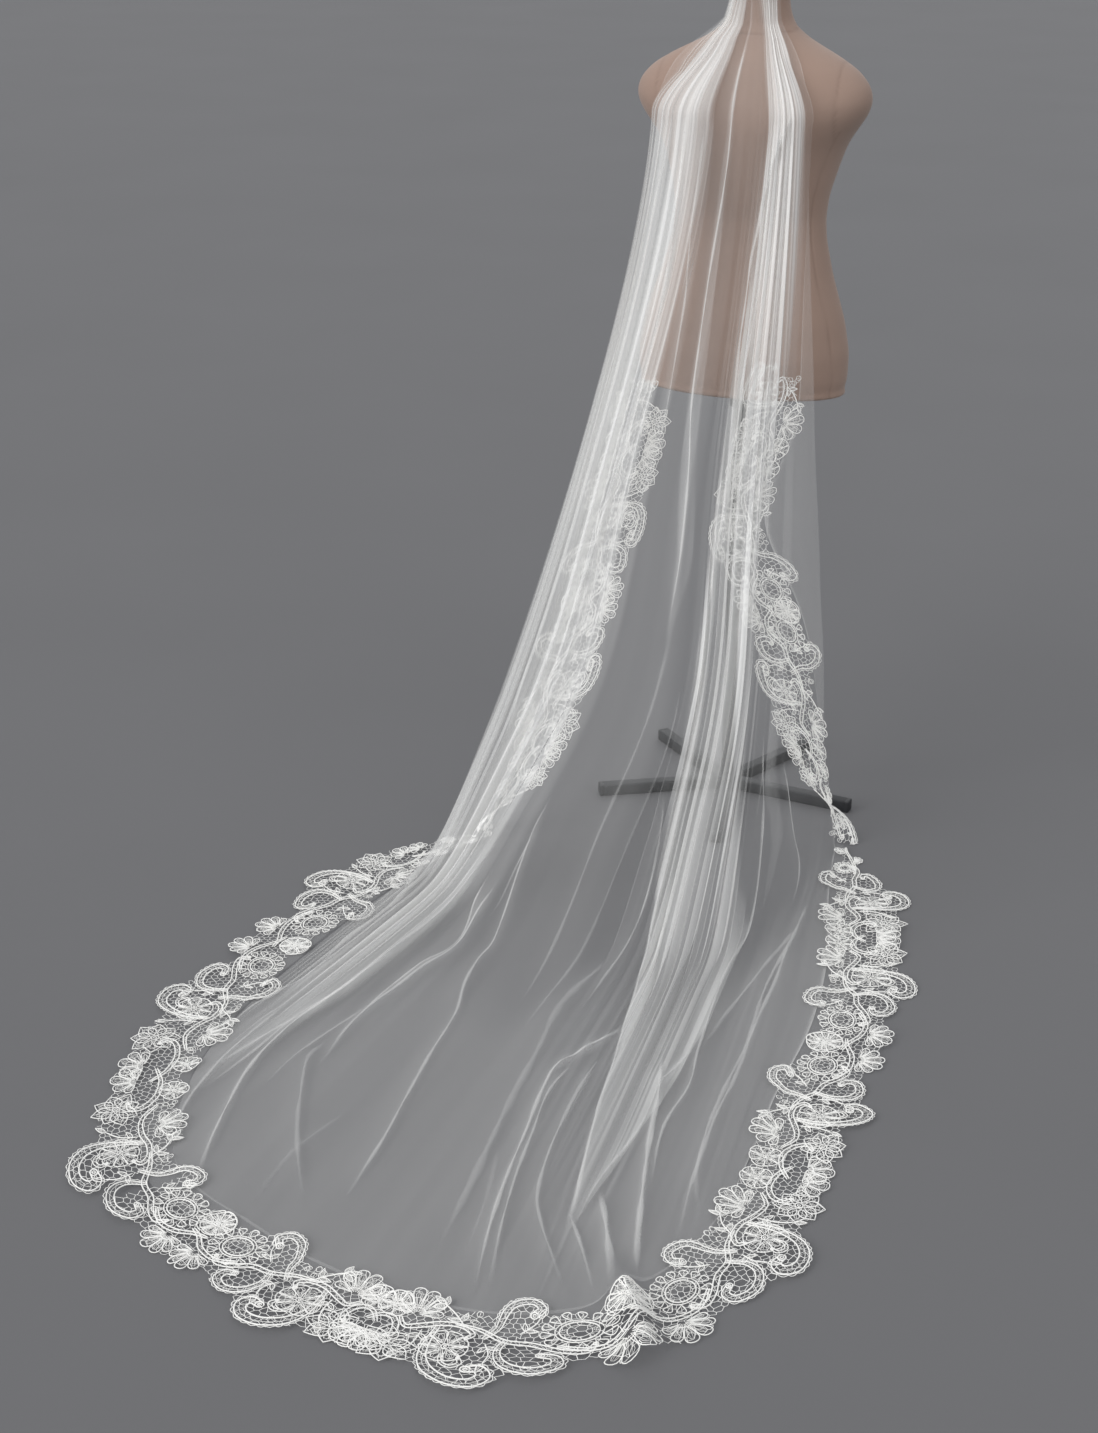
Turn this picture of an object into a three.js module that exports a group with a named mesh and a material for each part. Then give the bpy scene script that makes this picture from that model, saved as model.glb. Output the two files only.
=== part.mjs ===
// Long lace-edged veil hung from the neck of a limbless dress form on a five-legged stand.
// Millimetres, +Z up. The origin is on the floor under the pole; the form faces +Y and the train lies along -Y.
import * as THREE from 'three';

// driving dimensions
const tulleWall = 1.0;
const laceWall = 1.6;
const seamGap = 0.35;
const cutInset = 0.3;
const shoulderHeight = 1270;
const combHeight = 1503;
const neckAxisY = 42;
const combSpread = 52; // degrees each way round the neck
const hangPower = 1.45; // how the fall leans back between shoulders and floor
const clothClearance = 7;
const laceTopHeight = { left: 800, right: 870 };

// dress form: a ring for each height, with its half width and its back and front
const formColumns = ['z', 'halfWidth', 'back', 'front'];
const formRings = table(formColumns, [
  [788, 162, -78, 90],
  [792, 183, -90, 101],
  [813, 190, -94, 105],
  [863, 191, -96, 105],
  [918, 180, -91, 104],
  [996, 153, -73, 100],
  [1054, 138, -62, 98],
  [1092, 134, -60, 102],
  [1131, 138, -68, 112],
  [1184, 152, -78, 140],
  [1215, 163, -83, 144],
  [1245, 182, -86, 132],
  [1268, 198, -84, 120],
  [1290, 206, -78, 108],
  [1314, 201, -68, 100],
  [1338, 180, -58, 96],
  [1355, 154, -48, 94],
  [1370, 122, -38, 92],
  [1388, 84, -24, 91],
  [1408, 58, -8, 90],
  [1440, 48, -4, 90],
  [1492, 47, -5, 89],
]);

// guide folds of the veil from its left edge to its right one: place at the shoulders, side sway at hip and knee height, touchdown, place along the hem, crest, pleats to the next
const foldColumns = ['x', 'y', 'touchX', 'touchY', 'hipSway', 'kneeSway', 'hem', 'crest', 'depth', 'pleats'];
const folds = table(foldColumns, [
  [-152, -66, -345, -380, 20, 0, 0.13, 0, 0, 1],
  [-144, -90, -374, -508, 0, 0, 0.2, 22, 7, 4],
  [-105, -122, -342, -592, 0, 10, 0.26, 24, 11, 4],
  [-36, -128, -290, -620, 0, 45, 0.32, 16, 8, 1],
  [-14, -128, -220, -700, 10, 50, 0.38, 8, 6, 1],
  [17, -128, -60, -840, 10, 60, 0.44, 6, 7, 1],
  [46, -128, 45, -700, -5, 22, 0.49, 12, 9, 3],
  [70, -132, 100, -690, 0, 25, 0.515, 16, 9, 2],
  [92, -128, 145, -740, 0, 25, 0.535, 18, 10, 3],
  [112, -120, 196, -640, 0, 8, 0.555, 14, 5, 1],
  [122, -108, 232, -430, 0, 8, 0.585, 6, 3, 1],
  [126, -98, 249, -245, 12, 16, 0.62, 4, 2, 1],
  [132, -84, 260, -175, -22, -20, 0.66, 0, 0, 0],
]);
const rightEdgeSwing = { height: 590, reach: 130, inward: 75 };

// line on the floor where the net is joined to the lace, from the left touchdown round to the right one
const seamLine = table(['x', 'y'], [
  [-345, -380], [-395, -490], [-435, -700], [-460, -900], [-470, -1100], [-445, -1290],
  [-360, -1480], [-200, -1565], [-30, -1620], [140, -1630], [280, -1575], [370, -1430],
  [395, -1230], [382, -1020], [380, -800], [350, -580], [295, -360], [260, -175],
]);

// heights of the cross-sections, then shares of the way from touchdown to hem
const neckHeights = [combHeight, 1450, 1412, 1388, 1362, 1325, shoulderHeight];
const fallHeights = [shoulderHeight, 1000, 730, 590, 450, 300, 160, 60, 0];
const trainShares = [0, 0.12, 0.32, 0.6, 0.85, 1];

// pleat depth by height, as a share of the depth in the table of folds
const depthColumns = ['z', 'share'];
const depthByHeight = table(depthColumns, [
  [0, 1.1], [400, 1.05], [800, 0.95], [1270, 0.5], [1390, 0.32], [1450, 0.28], [1503, 0.22],
]);

// most depth of a pleat for the room that it has across, less where the cloth meets the floor
const steepest = table(['z', 'most'], [[0, 0.75], [60, 0.95], [160, 1.15]]);
const pleatRoom = 0.9; // no pleats where the points are closer than this

// radius of the veil round the neck, by height
const neckRadii = table(['z', 'radius'], [[1388, 86], [1412, 68], [1445, 58], [1475, 56], [1503, 57]]);
const neckBase = 1412;
const turnedAt = 1400; // height by which each fold has its own place round the neck
const slopeRoom = 14;

// lace border: width, its gaps and the scroll lobes that stand out of its edge
const lace = {
  width: 122,
  hangingWidth: 104,
  startWidth: 38,
  pitch: 52,
  barShare: 0.36,
  lines: [0, 0.13, 0.42, 0.55, 0.84, 1],
  holeLines: [1, 3],
  lobeReach: 46,
  lobeHalf: 48,
  scallop: 6,
  lobesAt: [290, 720, 1120, 1470, 1690, 2070, 2400, 2780],
};
const roundingRoom = 0.4; // a straight bar of lace against the curved hem
const hangingBase = 1.5;
const endInset = 9;
const turnHeight = 75; // under this the hanging lace turns outwards to lie on the floor
const pinch = { x: 317, y: -1518, heading: -57.4, height: 28, half: 24, rise: 90 }; // raised fold in the hem

const stand = {
  legs: 5,
  firstLegAngle: -6,
  legReach: 250,
  legWidth: 22,
  legHeight: 22,
  hubRadius: 27,
  hubHeight: 30,
  poleRadius: 12,
  collarRadius: 19,
  collarHeight: 34,
};

const colours = {
  tulle: { color: 0xf2f1ec, roughness: 0.8, metalness: 0, side: THREE.DoubleSide, transparent: true, opacity: 0.55 },
  lace: { color: 0xf4f2ea, roughness: 0.85, metalness: 0 },
  formCover: { color: 0xb79f90, roughness: 0.95, metalness: 0 },
  steel: { color: 0x2b2c2e, roughness: 0.5, metalness: 0.3 },
  comb: { color: 0xc9c7c2, roughness: 0.3, metalness: 0.9 },
};

const model = new THREE.Group();

function table(columns, rows) {
  return rows.map((row) => Object.fromEntries(columns.map((column, i) => [column, row[i]])));
}

function addMesh(name, geometry, finish, position = [0, 0, 0], turn = 0) {
  const mesh = new THREE.Mesh(geometry, new THREE.MeshStandardMaterial(finish));
  mesh.name = name;
  mesh.position.set(...position);
  mesh.rotation.z = turn;
  model.add(mesh);
  return mesh;
}

// value of one column of a table at z, straight between its rows
function columnAt(rows, key, column, value) {
  const rising = rows[rows.length - 1][key] > rows[0][key];
  const ordered = rising ? rows : [...rows].reverse();
  if (value <= ordered[0][key]) return ordered[0][column];
  for (let i = 1; i < ordered.length; i += 1) {
    if (value <= ordered[i][key]) {
      const share = (value - ordered[i - 1][key]) / (ordered[i][key] - ordered[i - 1][key]);
      return THREE.MathUtils.lerp(ordered[i - 1][column], ordered[i][column], share);
    }
  }
  return ordered[ordered.length - 1][column];
}

// smooth curve through evenly spaced values
function smoothAt(values, place) {
  const last = values.length - 1;
  const i = Math.min(Math.max(Math.floor(place), 0), last - 1);
  const t = place - i;
  const before = i > 0 ? values[i - 1] : 2 * values[0] - values[1];
  const after = i + 2 <= last ? values[i + 2] : 2 * values[last] - values[last - 1];
  const [a, b] = [values[i], values[i + 1]];
  return 0.5 * (2 * a + (b - before) * t + (2 * before - 5 * a + 4 * b - after) * t * t
    + (3 * a - before - 3 * b + after) * t * t * t);
}

// closed solid through rings of points, with a fan over each end
function loftGeometry(rings) {
  const count = rings[0].length;
  const positions = rings.flat(2);
  const index = [];
  for (let r = 0; r + 1 < rings.length; r += 1) {
    for (let i = 0; i < count; i += 1) {
      const j = (i + 1) % count;
      const [a, b, c, d] = [r * count + i, r * count + j, (r + 1) * count + j, (r + 1) * count + i];
      index.push(a, b, c, a, c, d);
    }
  }
  for (const [ring, flip] of [[0, true], [rings.length - 1, false]]) {
    const centre = positions.length / 3;
    const middle = [0, 1, 2].map((k) => rings[ring].reduce((sum, p) => sum + p[k], 0) / count);
    positions.push(...middle);
    for (let i = 0; i < count; i += 1) {
      const [a, b] = [ring * count + i, ring * count + ((i + 1) % count)];
      index.push(...(flip ? [centre, b, a] : [centre, a, b]));
    }
  }
  return meshGeometry(positions, index);
}

function meshGeometry(positions, index) {
  const geometry = new THREE.BufferGeometry();
  geometry.setAttribute('position', new THREE.Float32BufferAttribute(positions, 3));
  geometry.setIndex(index);
  return geometry;
}

// dress form with its shoulder caps and neck
const formSides = 32;
function formRing({ z, halfWidth, back, front }) {
  return Array.from({ length: formSides }, (_, i) => {
    const angle = (2 * Math.PI * i) / formSides;
    return [halfWidth * Math.cos(angle), (front + back) / 2 + ((front - back) / 2) * Math.sin(angle), z];
  });
}
addMesh('form_torso', loftGeometry(formRings.map(formRing)), colours.formCover);

const neckTop = formRings[formRings.length - 1];
const capHeight = 6;
const capGeometry = new THREE.CylinderGeometry(neckTop.halfWidth - 1, neckTop.halfWidth - 1, capHeight, formSides);
capGeometry.rotateX(Math.PI / 2);
addMesh('neck_cap', capGeometry, colours.formCover, [0, neckAxisY, neckTop.z + seamGap + capHeight / 2]);

// stand: hub, legs flat on the floor, pole and the collar that carries the form
function uprightCylinder(radius, height, sides = 24) {
  const geometry = new THREE.CylinderGeometry(radius, radius, height, sides);
  geometry.rotateX(Math.PI / 2);
  geometry.translate(0, 0, height / 2);
  return geometry;
}
addMesh('stand_hub', uprightCylinder(stand.hubRadius, stand.hubHeight, 30), colours.steel);
const legLength = stand.legReach - stand.hubRadius - seamGap;
for (let i = 0; i < stand.legs; i += 1) {
  const angle = THREE.MathUtils.degToRad(stand.firstLegAngle + (360 / stand.legs) * i);
  const geometry = new THREE.BoxGeometry(legLength, stand.legWidth, stand.legHeight);
  const middle = stand.hubRadius + seamGap + legLength / 2;
  geometry.translate(middle, 0, stand.legHeight / 2);
  addMesh(`stand_leg_${i + 1}`, geometry, colours.steel, [0, 0, 0], angle);
}
const collarBase = formRings[0].z - seamGap - stand.collarHeight;
const poleBase = stand.hubHeight + seamGap;
const poleGeometry = uprightCylinder(stand.poleRadius, collarBase - seamGap - poleBase);
addMesh('stand_pole', poleGeometry, colours.steel, [0, 0, poleBase]);
addMesh('stand_collar', uprightCylinder(stand.collarRadius, stand.collarHeight), colours.steel, [0, 0, collarBase]);

// comb laid on the neck cap with its teeth towards the front, and the band that the veil is gathered on
const comb = { teeth: 9, pitch: 7.2, toothWidth: 2.4, toothLength: 44, spineDepth: 5, thickness: 2.2, backY: -11 };
function combShape() {
  const half = ((comb.teeth - 1) * comb.pitch + comb.toothWidth) / 2;
  const shape = new THREE.Shape();
  shape.moveTo(-half, 0);
  shape.lineTo(half, 0);
  shape.lineTo(half, comb.spineDepth);
  for (let i = comb.teeth - 1; i >= 0; i -= 1) {
    const middle = (i - (comb.teeth - 1) / 2) * comb.pitch;
    const tip = comb.spineDepth + comb.toothLength;
    if (i < comb.teeth - 1) shape.lineTo(middle + comb.toothWidth / 2, comb.spineDepth);
    shape.lineTo(middle + comb.toothWidth / 4, tip);
    shape.lineTo(middle - comb.toothWidth / 4, tip);
    if (i > 0) shape.lineTo(middle - comb.toothWidth / 2, comb.spineDepth);
  }
  shape.lineTo(-half, comb.spineDepth);
  return shape;
}
const combGeometry = new THREE.ExtrudeGeometry(combShape(), { depth: comb.thickness, bevelEnabled: false });
const capTop = neckTop.z + seamGap + capHeight;
addMesh('comb', combGeometry, colours.comb, [0, comb.backY + 6, capTop + seamGap]);

// ring of the form at a height, with room round it for the cloth
function roomRing(z) {
  const [halfWidth, back, front] = ['halfWidth', 'back', 'front'].map((key) => columnAt(formRings, 'z', key, z));
  return { middle: (front + back) / 2, reach: halfWidth + clothClearance, depth: (front - back) / 2 + clothClearance };
}
function backOfForm(x, z) {
  const { middle, reach, depth } = roomRing(z);
  return Math.abs(x) < reach ? middle - depth * Math.sqrt(1 - (x / reach) ** 2) : Infinity;
}

// radius from the neck axis at which a ray leaves the ring: (r sin / reach)^2 + ((offset - r cos) / depth)^2 = 1
function clearRadius(angle, z) {
  const { middle, reach, depth } = roomRing(z);
  const [across, back] = [Math.sin(angle), Math.cos(angle)];
  const offset = neckAxisY - middle;
  const a = (across / reach) ** 2 + (back / depth) ** 2;
  const b = (offset * back) / depth ** 2;
  return (b + Math.sqrt(b * b - a * ((offset / depth) ** 2 - 1))) / a;
}

const totalPleats = folds.reduce((sum, fold) => sum + fold.pleats, 0);
let pleatsSoFar = 0;
for (const fold of folds) {
  fold.combAngle = THREE.MathUtils.degToRad(combSpread * ((2 * pleatsSoFar) / totalPleats - 1));
  fold.shoulderAngle = Math.atan2(fold.x, neckAxisY - fold.y);
  fold.shoulderRadius = Math.hypot(fold.x, neckAxisY - fold.y);
  pleatsSoFar += fold.pleats;
}

// place of a guide fold at a height over the shoulders
function neckPlace(fold, z) {
  const turned = THREE.MathUtils.smoothstep(combHeight - z, 0, combHeight - turnedAt);
  const angle = THREE.MathUtils.lerp(fold.combAngle, fold.shoulderAngle, turned);
  const drop = THREE.MathUtils.smoothstep(neckBase - z, 0, neckBase - shoulderHeight);
  const free = THREE.MathUtils.lerp(columnAt(neckRadii, 'z', 'radius', z), fold.shoulderRadius, drop);
  const clear = z > 1290 ? clearRadius(angle, z - slopeRoom) : 0;
  const radius = Math.max(free, clearRadius(angle, z), clear);
  return [radius * Math.sin(angle), neckAxisY - radius * Math.cos(angle), z];
}

// place of a guide fold at a height under the shoulders, where it leans back towards its touchdown
function fallPlace(fold, z) {
  const lean = (1 - z / shoulderHeight) ** hangPower;
  const sway = (amount, height, reach) => amount * Math.exp(-(((z - height) / reach) ** 2));
  const last = fold === folds[folds.length - 1];
  const swing = last ? -sway(rightEdgeSwing.inward, rightEdgeSwing.height, rightEdgeSwing.reach) : 0;
  const x = THREE.MathUtils.lerp(fold.x, fold.touchX, lean)
    + sway(fold.hipSway, 800, 300) + sway(fold.kneeSway, 380, 240) + swing;
  const y = THREE.MathUtils.lerp(fold.y, fold.touchY, lean);
  const crest = fold.crest * Math.max(0, 1 - z / 300);
  return [x, Math.min(y, backOfForm(x, z)), z + crest + tulleWall / 2];
}

// seam line by length
const seamCurve = new THREE.CatmullRomCurve3(seamLine.map(({ x, y }) => new THREE.Vector3(x, y, 0)), false, 'catmullrom');
seamCurve.arcLengthDivisions = 800;
const seamLength = seamCurve.getLength();
function seamPlace(share) {
  const { x, y } = seamCurve.getPointAt(THREE.MathUtils.clamp(share, 0, 1));
  return [x, y];
}

// place of a guide fold along the floor; the two edges of the net follow the seam line
function trainPlace(fold, share) {
  const crest = fold.crest * (1 - share) ** 1.5;
  const height = tulleWall / 2 + crest;
  if (fold === folds[0]) return [...seamPlace(fold.hem * share), height];
  if (fold === folds[folds.length - 1]) return [...seamPlace(1 - (1 - fold.hem) * share), height];
  const end = seamPlace(fold.hem);
  return [
    THREE.MathUtils.lerp(fold.touchX, end[0], share),
    THREE.MathUtils.lerp(fold.touchY, end[1], share),
    height,
  ];
}

// cross-sections of the veil: points through the guide folds, four to a pleat
const crossPlaces = [];
folds.forEach((fold, i) => {
  const steps = 4 * fold.pleats;
  for (let k = 0; k < steps; k += 1) crossPlaces.push({ place: i + k / steps, wave: Math.sin((Math.PI * k) / 2) });
});
crossPlaces.push({ place: folds.length - 1, wave: 0 });
const guideRows = [
  ...neckHeights.map((z) => ({ z, share: 0, places: folds.map((fold) => neckPlace(fold, z)) })),
  ...fallHeights.slice(1).map((z) => ({ z, share: 0, places: folds.map((fold) => fallPlace(fold, z)) })),
  ...trainShares.slice(1).map((share) => ({ z: 0, share, places: folds.map((fold) => trainPlace(fold, share)) })),
];
const baseGrid = guideRows.map(({ places, share }) => crossPlaces.map(({ place }) => {
  if (share === 1) {
    const [x, y] = seamPlace(smoothAt(folds.map((fold) => fold.hem), place));
    return new THREE.Vector3(x, y, tulleWall / 2 + pinchHeight(x, y));
  }
  const point = new THREE.Vector3(...[0, 1, 2].map((k) => smoothAt(places.map((p) => p[k]), place)));
  point.z = Math.max(point.z, tulleWall / 2);
  return point;
}));

function pinchHeight(x, y) {
  const heading = THREE.MathUtils.degToRad(pinch.heading);
  const along = (x - pinch.x) * Math.cos(heading) + (y - pinch.y) * Math.sin(heading);
  const aside = (x - pinch.x) * Math.sin(heading) - (y - pinch.y) * Math.cos(heading);
  return pinch.height * Math.exp(-((aside / pinch.half) ** 2)) * THREE.MathUtils.smoothstep(along, -pinch.rise, 20);
}

// direction out of the cloth at each point of a grid, away from the form and up
function gridNormals(grid) {
  const rows = grid.length;
  const columns = grid[0].length;
  return grid.map((row, r) => row.map((_, c) => {
    const along = grid[Math.min(r + 1, rows - 1)][c].clone().sub(grid[Math.max(r - 1, 0)][c]);
    const across = row[Math.min(c + 1, columns - 1)].clone().sub(row[Math.max(c - 1, 0)]);
    return across.cross(along).normalize().negate();
  }));
}

const baseNormals = gridNormals(baseGrid);
const clothGrid = baseGrid.map((row, r) => row.map((point, c) => {
  const { z, share } = guideRows[r];
  const depth = Math.max(0, smoothAt(folds.map((fold) => fold.depth), crossPlaces[c].place));
  const height = columnAt(depthByHeight, 'z', 'share', z);
  const spacing = row[Math.min(c + 1, row.length - 1)].distanceTo(row[Math.max(c - 1, 0)]) / 2;
  const most = columnAt(steepest, 'z', 'most', z) * Math.max(0, spacing - pleatRoom);
  const amount = Math.min(depth * height, most) * (1 - share) * (1 + crossPlaces[c].wave);
  return point.clone().addScaledVector(baseNormals[r][c], amount);
}));
const clothNormals = gridNormals(clothGrid);
const flatRow = neckHeights.length + fallHeights.length - 1;
for (let r = flatRow; r < clothGrid.length; r += 1) {
  for (const c of [0, crossPlaces.length - 1]) clothNormals[r][c].set(0, 0, 1);
}

// closed wall over part of a grid; cells named in holes are left open
function wallGeometry(grid, normals, thickness, isHole = () => false) {
  const rows = grid.length;
  const columns = grid[0].length;
  const positions = [];
  for (const side of [1, -1]) {
    grid.forEach((row, r) => row.forEach((point, c) => {
      const moved = point.clone().addScaledVector(normals[r][c], (side * thickness) / 2);
      positions.push(moved.x, moved.y, Math.max(moved.z, 0));
    }));
  }
  const half = rows * columns;
  const index = [];
  const solid = (r, c) => r >= 0 && c >= 0 && r < rows - 1 && c < columns - 1 && !isHole(r, c);
  const rim = (a, b) => index.push(a, b, b + half, a, b + half, a + half);
  for (let r = 0; r < rows - 1; r += 1) {
    for (let c = 0; c < columns - 1; c += 1) {
      if (solid(r, c)) {
        const a = r * columns + c;
        const [b, d, e] = [a + 1, a + columns, a + columns + 1];
        index.push(a, e, b, a, d, e);
        index.push(a + half, b + half, e + half, a + half, e + half, d + half);
        if (!solid(r - 1, c)) rim(a, b);
        if (!solid(r + 1, c)) rim(e, d);
        if (!solid(r, c - 1)) rim(d, a);
        if (!solid(r, c + 1)) rim(b, e);
      }
    }
  }
  return meshGeometry(positions, index);
}

// piece of the net between two rows and two columns, its cut edges drawn in to leave the seam gap
function netPanel(name, rowFrom, rowTo, columnFrom, columnTo) {
  const pick = (grid) => grid.slice(rowFrom, rowTo + 1).map((row) => row.slice(columnFrom, columnTo + 1).map((p) => p.clone()));
  const grid = pick(clothGrid);
  const pull = (point, inner) => point.addScaledVector(inner.clone().sub(point).normalize(), cutInset);
  const last = grid.length - 1;
  if (rowFrom > 0) grid[0].forEach((point, c) => pull(point, grid[1][c]));
  if (rowTo < clothGrid.length - 1) grid[last].forEach((point, c) => pull(point, grid[last - 1][c]));
  if (columnFrom > 0) grid.forEach((row) => pull(row[0], row[1]));
  if (columnTo < clothGrid[0].length - 1) grid.forEach((row) => pull(row[row.length - 1], row[row.length - 2]));
  addMesh(name, wallGeometry(grid, pick(clothNormals), tulleWall), colours.tulle);
}
const shoulderRow = neckHeights.length - 1;
const floorRow = shoulderRow + fallHeights.length - 1;
const hemRow = clothGrid.length - 1;
const columnOfFold = (i) => crossPlaces.findIndex(({ place }) => place === i);
const lastColumn = crossPlaces.length - 1;
const [innerLeft, innerRight] = [columnOfFold(3), columnOfFold(6)];
netPanel('veil_gathers', 0, shoulderRow, 0, lastColumn);
netPanel('veil_left_fall', shoulderRow, floorRow, 0, innerLeft);
netPanel('veil_centre_fall', shoulderRow, floorRow, innerLeft, innerRight);
netPanel('veil_right_fall', shoulderRow, floorRow, innerRight, lastColumn);
netPanel('veil_train', floorRow, hemRow, 0, lastColumn);

// lace border: a strip that runs on from the edge of the net and lies level across at every place
function laceStrip(name, stations, widthAt, curl = 0) {
  const grid = stations.map(({ point, angle, gap, run }) => {
    const width = widthAt(run);
    const place = point.clone();
    let reached = -gap;
    return lace.lines.map((line, i) => {
      const outermost = i === lace.lines.length - 1;
      const reach = line * width + (outermost ? lobeAt(run) : 0);
      const turned = angle + curl * line;
      place.addScaledVector(new THREE.Vector3(Math.cos(turned), Math.sin(turned), 0), reach - reached);
      const back = Math.min(backOfForm(place.x, place.z), backOfForm(place.x, place.z + lace.pitch));
      place.y = Math.min(place.y, back - laceWall);
      reached = reach;
      return place.clone();
    });
  });
  const isHole = (r, c) => stations[r].opensGap && lace.holeLines.includes(c);
  addMesh(name, wallGeometry(grid, gridNormals(grid), laceWall, isHole), colours.lace);
}
function lobeAt(run) {
  const scallop = lace.scallop * Math.sin((Math.PI * run) / lace.pitch);
  const lobe = (at) => lace.lobeReach * Math.sqrt(Math.max(0, 1 - ((run - at) / lace.lobeHalf) ** 2));
  return lace.lobesAt.reduce((sum, at) => sum + lobe(at), scallop);
}

// places along a strip whose net edge has corners: gaps parted by bars, with each corner inside a bar
function barPlaces(corners, lobes = []) {
  const places = [];
  for (let i = 0; i + 1 < corners.length; i += 1) {
    const [from, to] = [corners[i], corners[i + 1]];
    const repeats = Math.round(Math.abs(to - from) / lace.pitch);
    const step = (to - from) / Math.max(1, repeats);
    const halfBar = (lace.barShare * step) / 2;
    places.push({ at: from, opensGap: false });
    for (let k = 0; k < repeats; k += 1) {
      places.push({ at: from + k * step + halfBar, opensGap: true });
      places.push({ at: from + (k + 1) * step - halfBar, opensGap: false });
    }
  }
  places.push({ at: corners[corners.length - 1], opensGap: false });
  for (const lobe of lobes) {
    for (const part of [-1, -0.75, -0.3, 0.3, 0.75, 1]) {
      const at = lobe + part * lace.lobeHalf;
      const i = places.findIndex((place) => place.at > at);
      const clear = i > 0 && at - places[i - 1].at > 5 && places[i].at - at > 5;
      if (clear) places.splice(i, 0, { at, opensGap: places[i - 1].opensGap });
    }
  }
  return places;
}

// point between the rows of the net's own edge, by any measure that grows along it
function onEdge(column, rowFrom, measures, at) {
  let i = 0;
  while (i + 2 < measures.length && (at - measures[i + 1]) * Math.sign(measures[1] - measures[0]) > 0) i += 1;
  const share = (at - measures[i]) / (measures[i + 1] - measures[i]);
  return clothGrid[rowFrom + i][column].clone().lerp(clothGrid[rowFrom + i + 1][column], share);
}
const angleOf = (x, y) => Math.atan2(y, x);

// floor stretches of the border, lying flat outside the seam line
function floorStrip(name, from, to, column = null) {
  const start = column === null ? [from, to] : trainShares.map((share) => (column === 0
    ? folds[0].hem * share
    : 1 - (1 - folds[folds.length - 1].hem) * share));
  const runs = start.map((share) => share * seamLength);
  if (column !== null && column > 0) runs.reverse();
  const inset = name === 'lace_left_train' || name === 'lace_right_train' ? endInset : seamGap / 2;
  const corners = [...runs];
  corners[0] += column === 0 ? inset : seamGap / 2;
  corners[corners.length - 1] -= column > 0 ? inset : seamGap / 2;
  const stations = barPlaces(corners, lace.lobesAt).map(({ at, opensGap }) => {
    const share = at / seamLength;
    const tangent = seamCurve.getTangentAt(share);
    const point = new THREE.Vector3(...seamPlace(share), 0);
    if (column !== null) {
      const rows = column > 0 ? [...runs].reverse() : runs;
      point.copy(onEdge(column, floorRow, rows, at));
    }
    point.z = laceWall / 2 + pinchHeight(point.x, point.y);
    return { point, angle: angleOf(tangent.y, -tangent.x), gap: seamGap + roundingRoom, run: at, opensGap };
  });
  const widthAt = (run) => THREE.MathUtils.lerp(
    lace.startWidth,
    lace.width,
    THREE.MathUtils.smoothstep(Math.min(run, seamLength - run), 0, 250),
  );
  laceStrip(name, stations, widthAt);
}
const [leftEnd, rightStart] = [folds[0].hem, folds[folds.length - 1].hem];
floorStrip('lace_left_train', 0, leftEnd, 0);
floorStrip('lace_left_corner', leftEnd, 0.36);
floorStrip('lace_tip', 0.36, 0.56);
floorStrip('lace_right_corner', 0.56, rightStart);
floorStrip('lace_right_train', rightStart, 1, lastColumn);

// hanging stretches of the border, from the touchdown up to the height where the lace begins
function hangingStrip(name, column, nextColumn, top, seamShare, curl) {
  const corners = [hangingBase, ...fallHeights.filter((z) => z > hangingBase && z < top).reverse(), top];
  const tangent = seamCurve.getTangentAt(seamShare);
  const floorAngle = angleOf(tangent.y, -tangent.x);
  const stations = barPlaces(corners).map(({ at, opensGap }) => {
    const point = onEdge(column, shoulderRow, fallHeights, at);
    const next = onEdge(nextColumn, shoulderRow, fallHeights, at);
    const netAngle = angleOf(point.x - next.x, point.y - next.y);
    const turned = THREE.MathUtils.smoothstep(turnHeight - at, 0, turnHeight);
    const angle = THREE.MathUtils.lerp(netAngle, floorAngle, turned);
    const bend = Math.abs(Math.sin(Math.min(Math.abs(angle - netAngle), Math.PI / 2)));
    const gap = seamGap + ((tulleWall + laceWall) / 2) * bend;
    point.z += (laceWall - tulleWall) / 2;
    return { point, angle, gap, run: at, opensGap };
  });
  const widthAt = (z) => THREE.MathUtils.lerp(lace.startWidth, lace.hangingWidth, THREE.MathUtils.smoothstep(z, 20, 190))
    * (0.45 + 0.55 * THREE.MathUtils.smoothstep(top - z, 0, 90));
  laceStrip(name, stations, widthAt, curl);
}
hangingStrip('lace_left_fall', 0, 1, laceTopHeight.left, 0, -0.7);
hangingStrip('lace_right_fall', lastColumn, lastColumn - 1, laceTopHeight.right, 1, 0);

export default model;
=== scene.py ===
import bpy
import numpy as np
from mathutils import Matrix, Vector


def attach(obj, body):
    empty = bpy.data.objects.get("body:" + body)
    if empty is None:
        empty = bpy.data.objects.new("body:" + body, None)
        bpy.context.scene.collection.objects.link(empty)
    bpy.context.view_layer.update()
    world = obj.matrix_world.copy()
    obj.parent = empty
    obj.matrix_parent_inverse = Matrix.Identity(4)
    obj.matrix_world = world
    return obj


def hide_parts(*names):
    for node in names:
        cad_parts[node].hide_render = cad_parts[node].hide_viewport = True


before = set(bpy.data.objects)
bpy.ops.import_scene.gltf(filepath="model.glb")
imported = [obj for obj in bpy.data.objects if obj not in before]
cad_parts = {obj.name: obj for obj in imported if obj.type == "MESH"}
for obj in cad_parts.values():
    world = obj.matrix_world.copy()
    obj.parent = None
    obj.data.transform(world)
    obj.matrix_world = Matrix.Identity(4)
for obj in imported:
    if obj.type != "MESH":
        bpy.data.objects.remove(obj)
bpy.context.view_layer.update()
print("frame loaded")

mm = 0.001
rng = np.random.default_rng(7)


# small helpers

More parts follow.
